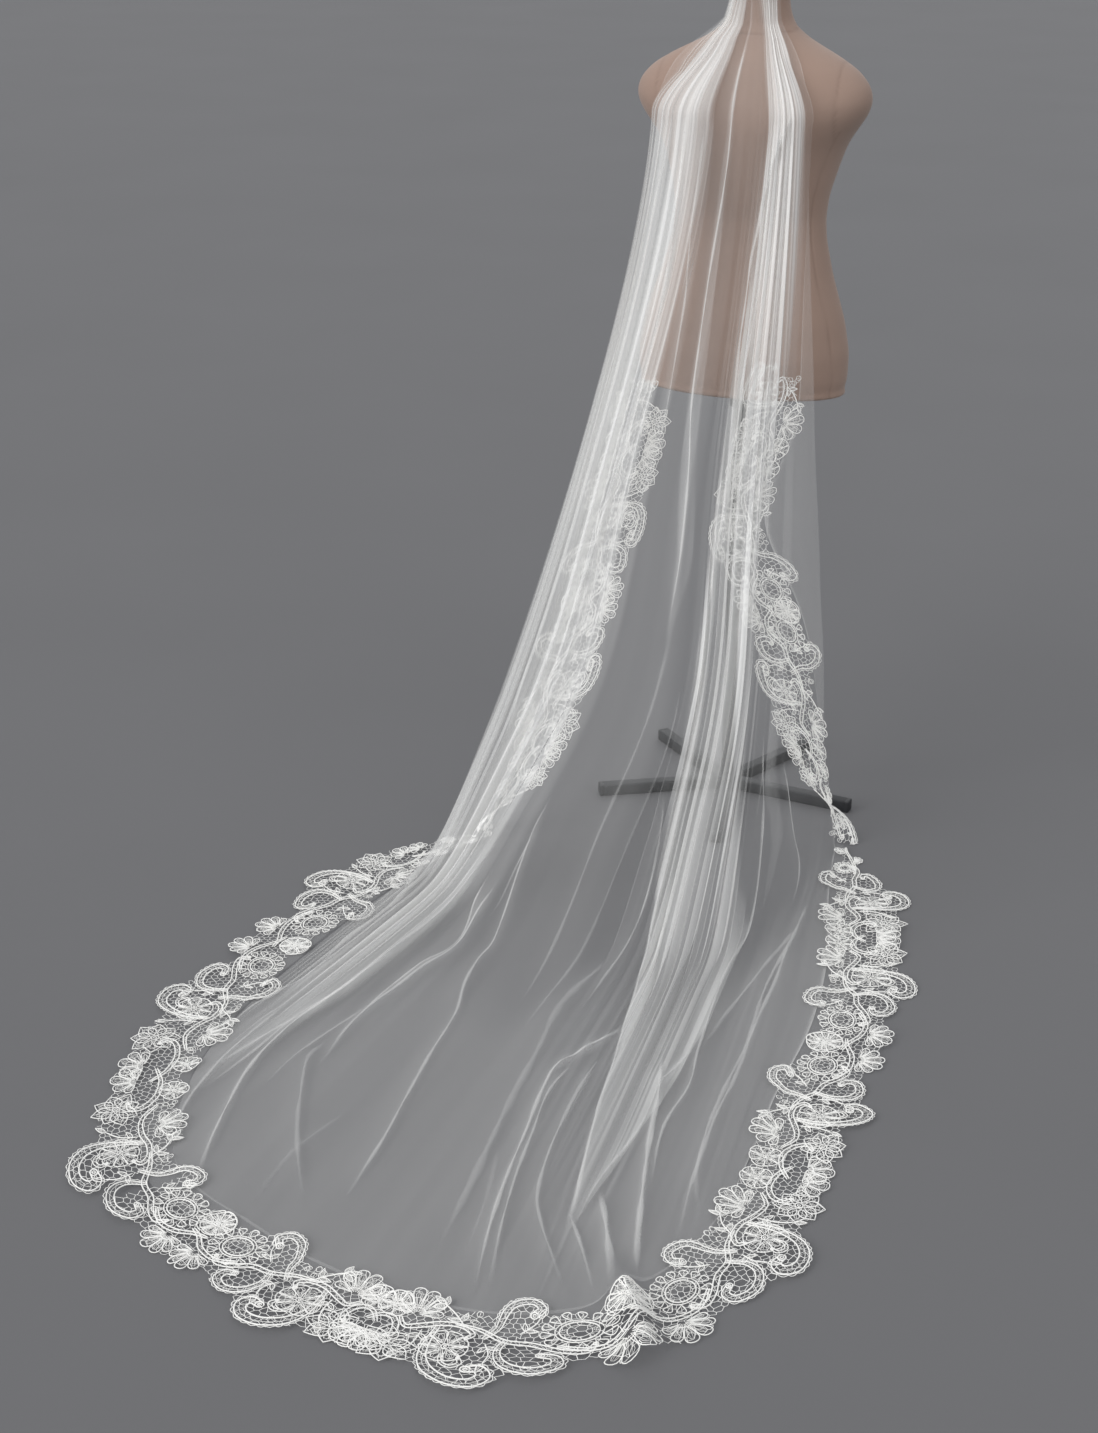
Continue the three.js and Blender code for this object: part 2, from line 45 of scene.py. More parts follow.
def smoothstep(x, low, high):
    # 0 under low, 1 over high, 3t^2 - 2t^3 between
    t = np.clip((x - low) / (high - low), 0, 1)
    return t * t * (3 - 2 * t)


def mix(a, b, t):
    return a + (b - a) * t


def unit(v):
    return v / np.maximum(np.linalg.norm(v, axis=-1, keepdims=True), 1e-9)


def meshFrom(name, points, faces, finish, attributes=None):
    # mesh object from arrays in millimetres; all faces have the same number of corners
    mesh = bpy.data.meshes.new(name)
    points = np.asarray(points, float).reshape(-1, 3) * mm
    faces = np.asarray(faces, int)
    count, corners = faces.shape
    mesh.vertices.add(len(points))
    mesh.vertices.foreach_set("co", points.ravel())
    mesh.loops.add(count * corners)
    mesh.loops.foreach_set("vertex_index", faces.ravel())
    mesh.polygons.add(count)
    mesh.polygons.foreach_set("loop_start", np.arange(count) * corners)
    mesh.polygons.foreach_set("use_smooth", np.ones(count, bool))
    mesh.update(calc_edges=True)
    mesh.validate()
    for key, values in (attributes or {}).items():
        layer = mesh.attributes.new(key, "FLOAT", "POINT")
        layer.data.foreach_set("value", np.asarray(values, float).ravel())
    piece = bpy.data.objects.new(name, mesh)
    bpy.context.scene.collection.objects.link(piece)
    mesh.materials.append(finish)
    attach(piece, "root")
    return piece


def gridFaces(rows, columns, closed=False):
    # quads of a grid of points, the last column joined to the first where closed
    index = np.arange(rows * columns).reshape(rows, columns)
    if closed:
        index = np.concatenate([index, index[:, :1]], axis=1)
    return np.stack([index[:-1, :-1], index[:-1, 1:], index[1:, 1:], index[1:, :-1]], -1).reshape(-1, 4)


# materials

class Value:
    # a shader socket that can be added to and multiplied

    def __init__(self, tree, socket):
        self.tree = tree
        self.socket = socket

    def math(self, operation, other):
        node = self.tree.nodes.new("ShaderNodeMath")
        node.operation = operation
        for place, item in enumerate((self, other)):
            plug(self.tree, node.inputs[place], item)
        return Value(self.tree, node.outputs[0])

    def __add__(self, other):
        return self.math("ADD", other)

    def __radd__(self, other):
        return self.math("ADD", other)

    def __mul__(self, other):
        return self.math("MULTIPLY", other)

    def between(self, low, high):
        return self.math("MAXIMUM", low).math("MINIMUM", high)


def plug(tree, socket, item):
    if isinstance(item, Value):
        tree.links.new(item.socket, socket)
    else:
        socket.default_value = item


class Finish:
    # a material with its principled shader, and one method for every other node

    def __init__(self, name, **sockets):
        self.material = bpy.data.materials.new(name)
        self.material.use_nodes = True
        self.tree = self.material.node_tree
        self.shader = self.tree.nodes["Principled BSDF"]
        for key, item in sockets.items():
            self.set(key.replace("_", " "), item)

    def set(self, socket, item):
        plug(self.tree, self.shader.inputs[socket], item)

    def node(self, kind, settings=None, inputs=None, output=0):
        node = self.tree.nodes.new("ShaderNode" + kind)
        for key, item in (settings or {}).items():
            setattr(node, key, item)
        for key, item in (inputs or {}).items():
            plug(self.tree, node.inputs[key], item)
        return Value(self.tree, node.outputs[output])

    def places(self):
        return self.node("TexCoord", output=3)

    def noise(self, scale, detail=2.0, rough=0.5):
        inputs = {"Scale": scale, "Detail": detail, "Roughness": rough, "Vector": self.places()}
        return self.node("TexNoise", inputs=inputs)

    def attribute(self, name):
        return self.node("Attribute", {"attribute_name": name}, output=2)

    def blend(self, factor, first, second):
        settings = {"data_type": "RGBA"}
        return self.node("Mix", settings, {0: factor, 6: first, 7: second}, output=2)

    def bump(self, height, strength, distance):
        inputs = {"Height": height, "Strength": strength, "Distance": distance}
        self.set("Normal", self.node("Bump", inputs=inputs))


def tulleFinish():
    finish = Finish("tulle", Roughness=0.9, Sheen_Weight=0.25, Sheen_Roughness=0.4)
    finish.set("Specular IOR Level", 0.2)
    grain = finish.noise(900.0, 1.0, 0.6)
    cloud = finish.noise(14.0, 2.0, 0.5)
    density = finish.attribute("veil density")
    finish.set("Alpha", (density * (0.8 + grain * 0.28 + cloud * 0.14)).between(0.0, 1.0))
    finish.set("Base Color", finish.blend(cloud, (0.93, 0.925, 0.905, 1), (0.86, 0.86, 0.85, 1)))
    return finish.material


def laceFinish():
    finish = Finish("lace", Roughness=0.75, Sheen_Weight=0.3, Sheen_Roughness=0.4)
    finish.set("Specular IOR Level", 0.3)
    thread = finish.noise(700.0, 2.0, 0.6)
    tone = finish.noise(40.0, 2.0, 0.5)
    finish.set("Base Color", finish.blend(tone, (0.94, 0.935, 0.91, 1), (0.86, 0.85, 0.82, 1)))
    finish.bump(thread, 0.5, 0.0006)
    return finish.material


def formFinish():
    finish = Finish("form cover", Roughness=0.92, Sheen_Weight=0.2, Sheen_Roughness=0.5)
    finish.set("Specular IOR Level", 0.15)
    weave = finish.noise(1300.0, 2.0, 0.7)
    cloud = finish.noise(7.0, 3.0, 0.55)
    seam = finish.attribute("seam")
    plain = finish.blend(cloud, (0.345, 0.243, 0.197, 1), (0.298, 0.207, 0.167, 1))
    thread = finish.blend(weave, plain, (0.425, 0.31, 0.25, 1))
    cover = finish.blend(weave * 0.5, plain, thread)
    finish.set("Base Color", finish.blend(seam, cover, (0.19, 0.125, 0.098, 1)))
    finish.bump(weave + cloud * 0.6, 0.35, 0.0007)
    return finish.material


def steelFinish():
    finish = Finish("black steel", Metallic=0.35)
    scuff = finish.noise(60.0, 4.0, 0.65)
    finish.set("Base Color", finish.blend(scuff, (0.02, 0.021, 0.023, 1), (0.045, 0.046, 0.05, 1)))
    finish.set("Roughness", 0.4 + scuff * 0.25)
    finish.bump(finish.noise(400.0, 2.0, 0.5), 0.15, 0.0004)
    return finish.material


def combFinish():
    finish = Finish("comb wire", Metallic=0.95)
    haze = finish.noise(120.0, 2.0, 0.5)
    finish.set("Base Color", finish.blend(haze, (0.78, 0.77, 0.75, 1), (0.66, 0.65, 0.63, 1)))
    finish.set("Roughness", 0.22 + haze * 0.15)
    return finish.material


tulle, laceCord, formCover = tulleFinish(), laceFinish(), formFinish()
blackSteel, combWire = steelFinish(), combFinish()
print("finishes made")

# dress form

form = {
    "rings": [  # height, half width, back, front
        (788, 162, -78, 90), (792, 183, -90, 101), (813, 190, -94, 105), (863, 191, -96, 105),
        (918, 180, -91, 104), (996, 153, -73, 100), (1054, 138, -62, 98), (1092, 134, -60, 102),
        (1131, 138, -68, 112), (1184, 152, -78, 140), (1215, 163, -83, 144), (1245, 182, -86, 132),
        (1268, 198, -84, 120), (1290, 206, -78, 108), (1314, 201, -68, 100), (1338, 180, -58, 96),
        (1355, 154, -48, 94), (1370, 122, -38, 92), (1388, 84, -24, 91), (1408, 58, -8, 90),
        (1440, 48, -4, 90), (1492, 47, -5, 89),
    ],
    "around": 180,
    "rowsUp": 240,
    "seamDepth": 0.9,
    "seamWidth": 2.0,
    "armholeAt": 158,
    "sideSeamAngle": 24,
    "neckSeam": 1402,
}


def ringAt(z, room=0.0):
    # middle, half width and half depth of the form at a height, straight between its rings
    rings = np.array(form["rings"], float)
    halfWidth, back, front = (np.interp(z, rings[:, 0], rings[:, k]) for k in (1, 2, 3))
    return (front + back) / 2, halfWidth + room, (front - back) / 2 + room


def makeForm():
    # ellipse at each height, its size a smooth curve through the rings, cut in along the seams
    rings = np.array(form["rings"], float)
    turns = np.linspace(0, 2 * np.pi, form["around"], endpoint=False)
    low, high = rings[0, 0], rings[-1, 0]
    body = np.linspace(low + 4, high - 3, form["rowsUp"])
    z = np.concatenate([[low, low, low + 0.8, low + 2.4], body, [high - 1, high]])
    soft = np.linspace(low, high, 900)
    kernel = np.exp(-np.linspace(-2.2, 2.2, 71) ** 2)
    kernel /= kernel.sum()

    def smoothed(k):
        values = np.interp(soft, rings[:, 0], rings[:, k])
        padded = np.concatenate([2 * values[0] - values[35:0:-1], values, 2 * values[-1] - values[-2:-37:-1]])
        return np.interp(z, soft, np.convolve(padded, kernel, "valid"))

    halfWidth, back, front = smoothed(1), smoothed(2), smoothed(3)
    rounding = np.clip((z - low) / 9, 0, 1)
    inset = 9 * (1 - np.sqrt(1 - (1 - rounding) ** 2))
    near = smoothstep(z, low, low + 26)
    halfWidth = mix(rings[2, 1] - inset, halfWidth, near)
    back = mix(rings[2, 2] + inset, back, near)
    front = mix(rings[2, 3] - inset, front, near)
    halfWidth[0], back[0], front[0] = 20, -10, 30
    middle, depth = (front + back) / 2, (front - back) / 2
    x = halfWidth[:, None] * np.cos(turns)
    y = middle[:, None] + depth[:, None] * np.sin(turns)
    zz = np.broadcast_to(z[:, None], x.shape).copy()
    away = 400  # puts a seam out of reach above or below its stretch
    # seams: round the armholes, down the side backs and the centre, and round the base of the neck
    armhole = np.abs(np.abs(x) - (form["armholeAt"] - 0.0009 * (zz - 1300) ** 2))
    armhole = armhole + away * ((zz < 1225) | (zz > 1352))
    angle = np.degrees(np.arctan2(np.sin(turns), np.cos(turns)))[None, :]
    sway = 8 * np.sin((zz - 800) / 170)
    sideAt = form["sideSeamAngle"] + sway * 0.5
    sideBack = np.minimum(np.abs(angle + sideAt), np.abs(angle + 180 - sideAt))
    sideBack = sideBack * halfWidth[:, None] * np.pi / 180 * 0.8 + away * (zz > 1245)
    princess = np.minimum(np.abs(angle - 62 - 0.6 * sway), np.abs(angle - 118 + 0.6 * sway))
    princess = princess * halfWidth[:, None] * np.pi / 180 + away * (zz > 1290)
    neckSeam = np.abs(zz - form["neckSeam"] - 6 * np.sin(turns))
    nearest = np.minimum(np.minimum(armhole, sideBack), np.minimum(princess, neckSeam))
    groove = np.exp(-(nearest / form["seamWidth"]) ** 2)
    cap = smoothstep(np.abs(x), form["armholeAt"] - 2, form["armholeAt"] + 24) * smoothstep(zz, 1222, 1262)
    outward = unit(np.stack([np.cos(turns) * depth[:, None], np.sin(turns) * halfWidth[:, None]], -1))
    push = -form["seamDepth"] * groove + 1.2 * cap
    points = np.stack([x + outward[..., 0] * push, y + outward[..., 1] * push, zz], -1)
    points[0, :, 2] = low
    piece = meshFrom("form_body", points, gridFaces(len(z), form["around"], closed=True), formCover,
                     {"seam": groove * 0.3})
    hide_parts("form_torso")


def lathe(name, profile, sides, centre, finish, node):
    # profile of radius and height turned round an upright axis
    profile = np.array(profile, float)
    turns = np.linspace(0, 2 * np.pi, sides, endpoint=False)
    x = centre[0] + profile[:, :1] * np.cos(turns)
    y = centre[1] + profile[:, :1] * np.sin(turns)
    z = np.broadcast_to(profile[:, 1:], x.shape)
    piece = meshFrom(name, np.stack([x, y, z], -1), gridFaces(len(profile), sides, closed=True), finish,
                     {"seam": np.zeros(x.shape)})
    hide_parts(node)


def roundedProfile(radius, low, high, edge):
    # side of a turned piece with rounded edges, closed at both ends
    inner, bend = 0.2, np.linspace(0, np.pi / 2, 5)
    lower = [(radius - edge + edge * np.sin(a), low + edge - edge * np.cos(a)) for a in bend]
    upper = [(radius - edge + edge * np.cos(a), high - edge + edge * np.sin(a)) for a in bend]
    return [(inner, low)] + lower + upper + [(inner, high)]


makeForm()
seamGap = 0.35  # between parts that meet
formLow, capLow = form["rings"][0][0], form["rings"][-1][0] + seamGap
capProfile = roundedProfile(46, capLow, capLow + 6, 2.4)
lathe("neck_cap_cover", capProfile, 96, (0, 42), formCover, "neck_cap")
print("form made")

# stand

stand = {
    "legs": 5, "firstAngle": -6, "reach": 250, "width": 22, "height": 22, "edge": 2.2,
    "hubRadius": 27, "hubHeight": 30, "poleRadius": 12, "collarRadius": 19, "collarHeight": 34,
}


def makeLeg(number):
    # square tube with rounded edges: a rounded square carried along the leg, with a plastic plug in its end
    angle = np.radians(stand["firstAngle"] + 72 * number)
    start, reach = stand["hubRadius"] + seamGap, stand["reach"]
    corner = np.linspace(0, np.pi / 2, 4)
    half, edge = stand["width"] / 2, stand["edge"]
    centres = np.array([(1, 1), (-1, 1), (-1, -1), (1, -1)]) * (half - edge)
    bends = np.stack([np.stack([np.cos(corner + k * np.pi / 2), np.sin(corner + k * np.pi / 2)], -1)
                      for k in range(4)])
    outline = (centres[:, None] + edge * bends).reshape(-1, 2)
    plug = reach - np.array([8, 7.6, 7.2, 1.2, 0, 0])
    along = np.concatenate([[start, start, start + 1], plug])
    size = np.array([0.02, 0.94, 1.0, 1.0, 0.965, 1.0, 1.0, 0.93, 0.02])
    across = outline[None, :, 0] * size[:, None]
    up = outline[None, :, 1] * size[:, None] + stand["height"] / 2
    up = np.maximum(up, 0)
    x = along[:, None] * np.cos(angle) - across * np.sin(angle)
    y = along[:, None] * np.sin(angle) + across * np.cos(angle)
    name = f"stand_leg_{number + 1}"
    faces = gridFaces(len(along), len(outline), closed=True)
    piece = meshFrom(name + "_tube", np.stack([x, y, up], -1), faces, blackSteel)
    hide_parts(name)


for number in range(stand["legs"]):
    makeLeg(number)
hubProfile = roundedProfile(stand["hubRadius"], 0, stand["hubHeight"], 2.5)
collarTop = formLow - seamGap
collarBase = collarTop - stand["collarHeight"]
poleProfile = roundedProfile(stand["poleRadius"], stand["hubHeight"] + seamGap, collarBase - seamGap, 0.6)
collarProfile = roundedProfile(stand["collarRadius"], collarBase, collarTop, 1.6)
# turned groove round the collar, after the rounding of its lower edge
groove = ((10, 0), (10.6, 0.8), (12, 0.8), (12.6, 0))
collarProfile[6:6] = [(stand["collarRadius"] - deep, collarBase + up) for up, deep in groove]
turned = (("hub", "turned", hubProfile, 96), ("pole", "tube", poleProfile, 64),
          ("collar", "turned", collarProfile, 96))
for name, kind, profile, sides in turned:
    lathe(f"stand_{name}_{kind}", profile, sides, (0, 0), blackSteel, "stand_" + name)
print("stand made")

# view of the photograph: metres, pan in radians, other angles in degrees, picture in pixels

view = {
    "lens": 55.27, "film": 36.0, "wide": 1098, "high": 1433,
    "place": (1.06396, -3.71047, 1.81), "pan": 0.089, "pitch": 23.42, "turn": 16.0,
}


def viewAxes():
    # right, up and ahead of the camera, turned about the upright axis
    pan, pitch, turn = view["pan"], np.radians(view["pitch"]), np.radians(view["turn"])
    ahead = Vector((-np.sin(pan) * np.cos(pitch), np.cos(pan) * np.cos(pitch), -np.sin(pitch)))
    right = Vector((np.cos(pan), np.sin(pan), 0))
    return [Matrix.Rotation(turn, 3, "Z") @ axis for axis in (right, right.cross(ahead), ahead)]


def inPicture(points):
    # pixel of each point in millimetres: middle of the picture plus focal length times sideways over ahead
    right, up, ahead = (np.array(axis) for axis in viewAxes())
    off = points * mm - np.array(view["place"])
    focal = view["lens"] / view["film"] * view["high"]
    return np.stack([view["wide"] / 2 + focal * (off @ right) / (off @ ahead),
                     view["high"] / 2 - focal * (off @ up) / (off @ ahead)], -1)


# cloth of the veil

cloth = {
    "shoulder": 1270.0, "top": 1503.0, "neckY": 42.0, "combSpread": 52.0, "hangPower": 1.45, "clearance": 7.0,
    "slopeRoom": 14.0, "neckBase": 1412.0, "turnedAt": 1400.0, "wall": 1.0,
    # x, y at the shoulders, touchdown x, y, sway at hips and knees, share along the hem, crest, depth,
    # wide pleats to the next
    "folds": [
        (-152, -66, -345, -380, 20, 0, 0.13, 0, 0, 1),
        (-144, -90, -374, -508, 0, 0, 0.2, 22, 7, 4),
        (-105, -122, -342, -592, 0, 10, 0.26, 24, 11, 4),
        (-36, -128, -290, -620, 0, 45, 0.32, 16, 8, 1),
        (-14, -128, -220, -700, 10, 50, 0.38, 8, 6, 1),
        (17, -128, -60, -840, 10, 60, 0.44, 6, 7, 1),
        (46, -128, 45, -700, -5, 22, 0.49, 12, 9, 3),
        (70, -132, 100, -690, 0, 25, 0.515, 16, 9, 2),
        (92, -128, 145, -740, 0, 25, 0.535, 18, 10, 3),
        (112, -120, 196, -640, 0, 8, 0.555, 14, 5, 1),
        (122, -108, 232, -430, 0, 8, 0.585, 6, 3, 1),
        (126, -98, 249, -245, 12, 16, 0.62, 4, 2, 1),
        (132, -84, 260, -175, -22, -20, 0.66, 0, 0, 0),
    ],
    "edgeSwing": (590.0, 130.0, 75.0),  # height, reach and depth of the inward swing of the right edge
    "seam": [
        (-345, -380), (-395, -490), (-435, -700), (-460, -900), (-470, -1100), (-445, -1290),
        (-360, -1480), (-200, -1565), (-30, -1620), (140, -1630), (280, -1575), (370, -1430),
        (395, -1230), (382, -1020), (380, -800), (350, -580), (295, -360), (260, -175),
    ],
    "finePleats": [2, 6, 6, 3, 2, 2, 4, 5, 5, 3, 2, 2],
    "bundling": [0.1, 1.0, 1.0, 0.5, 0.1, 0.05, 0.7, 0.9, 1.0, 0.8, 0.35, 0.2, 0.1],
    # power by which pleats die out on the floor
    "persist": [1.3, 0.8, 0.8, 1.2, 1.6, 1.6, 1.8, 2.0, 2.0, 1.8, 1.6, 1.5, 1.5],
    "columnsEach": 12,  # at least so many in each pleat, and one for each so many millimetres of floor
    "columnWidth": 2.5,
    "netShare": 0.072,  # light that one layer of net stops, seen square on
}
folds = np.array(cloth["folds"], float)
foldCount = len(folds)
fx, fy, touchX, touchY, hip, knee, hemShare, crest, depth, widePleats = folds.T


def lengthSoFar(points):
    return np.concatenate([[0], np.cumsum(np.linalg.norm(np.diff(points, axis=0), axis=1))])


def catmullRom(a, b, c, d, t):
    # curve from b to c, its slope at each the mean of the two steps there
    square, cube = 2 * a - 5 * b + 4 * c - d, 3 * b - a - 3 * c + d
    return 0.5 * (2 * b + (c - a) * t + square * t ** 2 + cube * t ** 3)


def alongCurve(points, steps=80):
    # Catmull-Rom curve through points, and its length so far
    p = np.array(points, float)
    p = np.vstack([2 * p[0] - p[1], p, 2 * p[-1] - p[-2]])
    t = np.linspace(0, 1, steps, endpoint=False)[None, :, None]
    a, b, c, d = (p[k:len(p) - 3 + k, None, :] for k in range(4))
    curve = np.vstack([catmullRom(a, b, c, d, t).reshape(-1, p.shape[1]), p[-2]])
    return curve, lengthSoFar(curve)


seamCurve, seamRun = alongCurve(cloth["seam"])
seamLength = seamRun[-1]


def seamPlace(share):
    run = np.clip(share, 0, 1) * seamLength
    return np.stack([np.interp(run, seamRun, seamCurve[:, k]) for k in (0, 1)], -1)


def seamTangent(share):
    step = 2.0 / seamLength
    return unit(seamPlace(np.clip(share + step, 0, 1)) - seamPlace(np.clip(share - step, 0, 1)))


def acrossFolds(values, place):
    # Catmull-Rom curve through one value for each guide fold
    values = np.asarray(values, float)
    i = np.clip(np.floor(place).astype(int), 0, foldCount - 2)
    t = place - i
    padded = np.concatenate([[2 * values[0] - values[1]], values, [2 * values[-1] - values[-2]]])
    a, b, c, d = (padded[i + k] for k in range(4))
    return catmullRom(a, b, c, d, t)


def backOfForm(x, z, room=None):
    middle, reach, deep = ringAt(z, cloth["clearance"] if room is None else room)
    inside = np.abs(x) < reach
    return np.where(inside, middle - deep * np.sqrt(np.maximum(0, 1 - (x / reach) ** 2)), 1e6)


def clearRadius(angle, z):
    # radius from the neck axis at which a ray leaves the ring with its room
    middle, reach, deep = ringAt(z, cloth["clearance"])
    s, k = np.sin(angle), np.cos(angle)
    offset = cloth["neckY"] - middle
    a = (s / reach) ** 2 + (k / deep) ** 2
    b = offset * k / deep ** 2
    return (b + np.sqrt(b * b - a * ((offset / deep) ** 2 - 1))) / a


totalPleats = widePleats.sum()
combAngle = np.radians(cloth["combSpread"] * (2 * (np.cumsum(widePleats) - widePleats) / totalPleats - 1))
shoulderAngle = np.arctan2(fx, cloth["neckY"] - fy)
shoulderRadius = np.hypot(fx, cloth["neckY"] - fy)


def guidesAtNeck(z):
    # polar place round the neck: angle and radius go from the comb's to the fold's own
    turned = smoothstep(cloth["top"] - z, 0, cloth["top"] - cloth["turnedAt"])
    angle = mix(combAngle, shoulderAngle, turned)
    drop = smoothstep(cloth["neckBase"] - z, 0, cloth["neckBase"] - cloth["shoulder"])
    free = mix(np.interp(z, [1388, 1412, 1445, 1475, 1503], [86, 68, 58, 56, 57]), shoulderRadius, drop)
    radius = np.maximum(free, clearRadius(angle, z))
    if z > 1290:
        radius = np.maximum(radius, clearRadius(angle, z - cloth["slopeRoom"]))
    x, y = radius * np.sin(angle), cloth["neckY"] - radius * np.cos(angle)
    return np.stack([x, y, np.full(foldCount, z)], -1)


def guidesInFall(z):
    # each fold leans from the shoulders to its touchdown as (1 - z / shoulder height) ^ hangPower
    lean = (1 - z / cloth["shoulder"]) ** cloth["hangPower"]
    swing = np.zeros(foldCount)
    height, reach, inward = cloth["edgeSwing"]
    swing[-1] = -inward * np.exp(-((z - height) / reach) ** 2)
    sway = hip * np.exp(-((z - 800) / 300) ** 2) + knee * np.exp(-((z - 380) / 240) ** 2)
    x = mix(fx, touchX, lean) + sway + swing
    y = np.minimum(mix(fy, touchY, lean), backOfForm(x, z))
    return np.stack([x, y, z + crest * max(0, 1 - z / 300) + cloth["wall"] / 2], -1)


def guidesOnFloor(share):
    # straight from touchdown to hem; the two edges follow the seam line
    end = seamPlace(hemShare)
    xy = np.stack([mix(touchX, end[:, 0], share), mix(touchY, end[:, 1], share)], -1)
    xy[0] = seamPlace(hemShare[0] * share)
    xy[-1] = seamPlace(1 - (1 - hemShare[-1]) * share)
    return np.column_stack([xy, cloth["wall"] / 2 + crest * (1 - share) ** 1.5])


pinch = {"x": 317, "y": -1518, "heading": -57.4, "height": 28, "half": 24, "rise": 90}


def pinchHeight(x, y):
    # ridge of the pulled-up fold in the hem, across its heading
    heading = np.radians(pinch["heading"])
    along = (x - pinch["x"]) * np.cos(heading) + (y - pinch["y"]) * np.sin(heading)
    aside = (x - pinch["x"]) * np.sin(heading) - (y - pinch["y"]) * np.cos(heading)
    return pinch["height"] * np.exp(-(aside / pinch["half"]) ** 2) * smoothstep(along, -pinch["rise"], 20)


# columns: uneven pleats, each with at least columnsEach columns and more where it is wide on the floor
pleatEdges, phaseEdges = [0.0], [0.0]
for i, count in enumerate(cloth["finePleats"]):
    widths = rng.uniform(0.3, 1.9, count)
    widths /= widths.sum()
    for w in np.cumsum(widths):
        pleatEdges.append(i + w)
        phaseEdges.append(phaseEdges[-1] + 1.0)
halfway = guidesOnFloor(0.5)
spread = np.interp(pleatEdges, np.arange(foldCount), lengthSoFar(halfway))
each = np.maximum(cloth["columnsEach"], np.diff(spread) / cloth["columnWidth"])
counted = np.concatenate([[0], np.cumsum(each)])
phase = np.interp(np.linspace(0, counted[-1], int(counted[-1]) + 1), counted, phaseEdges)
place = np.clip(np.interp(phase, phaseEdges, pleatEdges), 0, foldCount - 1)
bundling = np.interp(place, np.arange(foldCount), cloth["bundling"])
pleatSize = np.interp(phase, np.arange(len(pleatEdges)), rng.uniform(0.15, 1.3, len(pleatEdges)))

# rows: heights down the neck and the fall, then shares of the way over the floor
zNeck = np.linspace(cloth["top"], cloth["shoulder"], 34)
zFall = np.concatenate([np.linspace(cloth["shoulder"], 120, 84)[1:], np.linspace(120, 0, 16)[1:]])
floorShare = np.concatenate([np.linspace(0, 0.2, 22)[1:], np.linspace(0.2, 1, 74)[1:]])
rowKinds = [("neck", z) for z in zNeck] + [("fall", z) for z in zFall] + [("floor", s) for s in floorShare]
rowGuides = {"neck": guidesAtNeck, "fall": guidesInFall, "floor": guidesOnFloor}
base = np.stack([np.stack([acrossFolds(g[:, k], place) for k in range(3)], -1)
                 for g in (rowGuides[kind](value) for kind, value in rowKinds)])
rowZ = np.array([value if kind != "floor" else 0.0 for kind, value in rowKinds])
rowShare = np.array([value if kind == "floor" else 0.0 for kind, value in rowKinds])
rowRun = lengthSoFar(base[:, base.shape[1] // 2])
down = np.where(rowShare > 0, rowShare * 1000, -rowZ)
neckRows, fallRows = len(zNeck), len(zNeck) + len(zFall)
hemXY = seamPlace(acrossFolds(hemShare, place))
hemTurn = int(np.argmin(np.abs(rowShare - 0.85)))
toHem = np.clip((rowShare - rowShare[hemTurn]) / (1 - rowShare[hemTurn]), 0, 1)[:, None, None]
base[..., :2] = np.where(toHem > 0, mix(base[hemTurn, :, :2][None], hemXY[None], toHem), base[..., :2])
base[..., 2] = np.maximum(base[..., 2], cloth["wall"] / 2)

# where it comes down on the floor the sheet bends softly: rows are averaged with their neighbours there
fromTouch = np.abs(rowRun - rowRun[fallRows - 1])
fromEdges = smoothstep(place, 0, 0.9) * smoothstep(foldCount - 1 - place, 0, 0.9)
soften = (1 - smoothstep(fromTouch, 120, 330))[:, None, None] * fromEdges[None, :, None]
for _ in range(150):
    base[1:-1] += ((base[:-2] + base[2:]) / 2 - base[1:-1]) * 0.5 * soften[1:-1]
onFloor = rowShare[:, None] > 0
base[..., 2] += np.where(onFloor, pinchHeight(base[..., 0], base[..., 1]), 0)


def surfaceNormals(points):
    # away from the form and up: minus the cross product of the two directions of the grid
    along = np.gradient(points, axis=0)
    across = np.gradient(points, axis=1)
    return -unit(np.cross(across, along)), unit(across)


baseNormal, baseAcross = surfaceNormals(base)

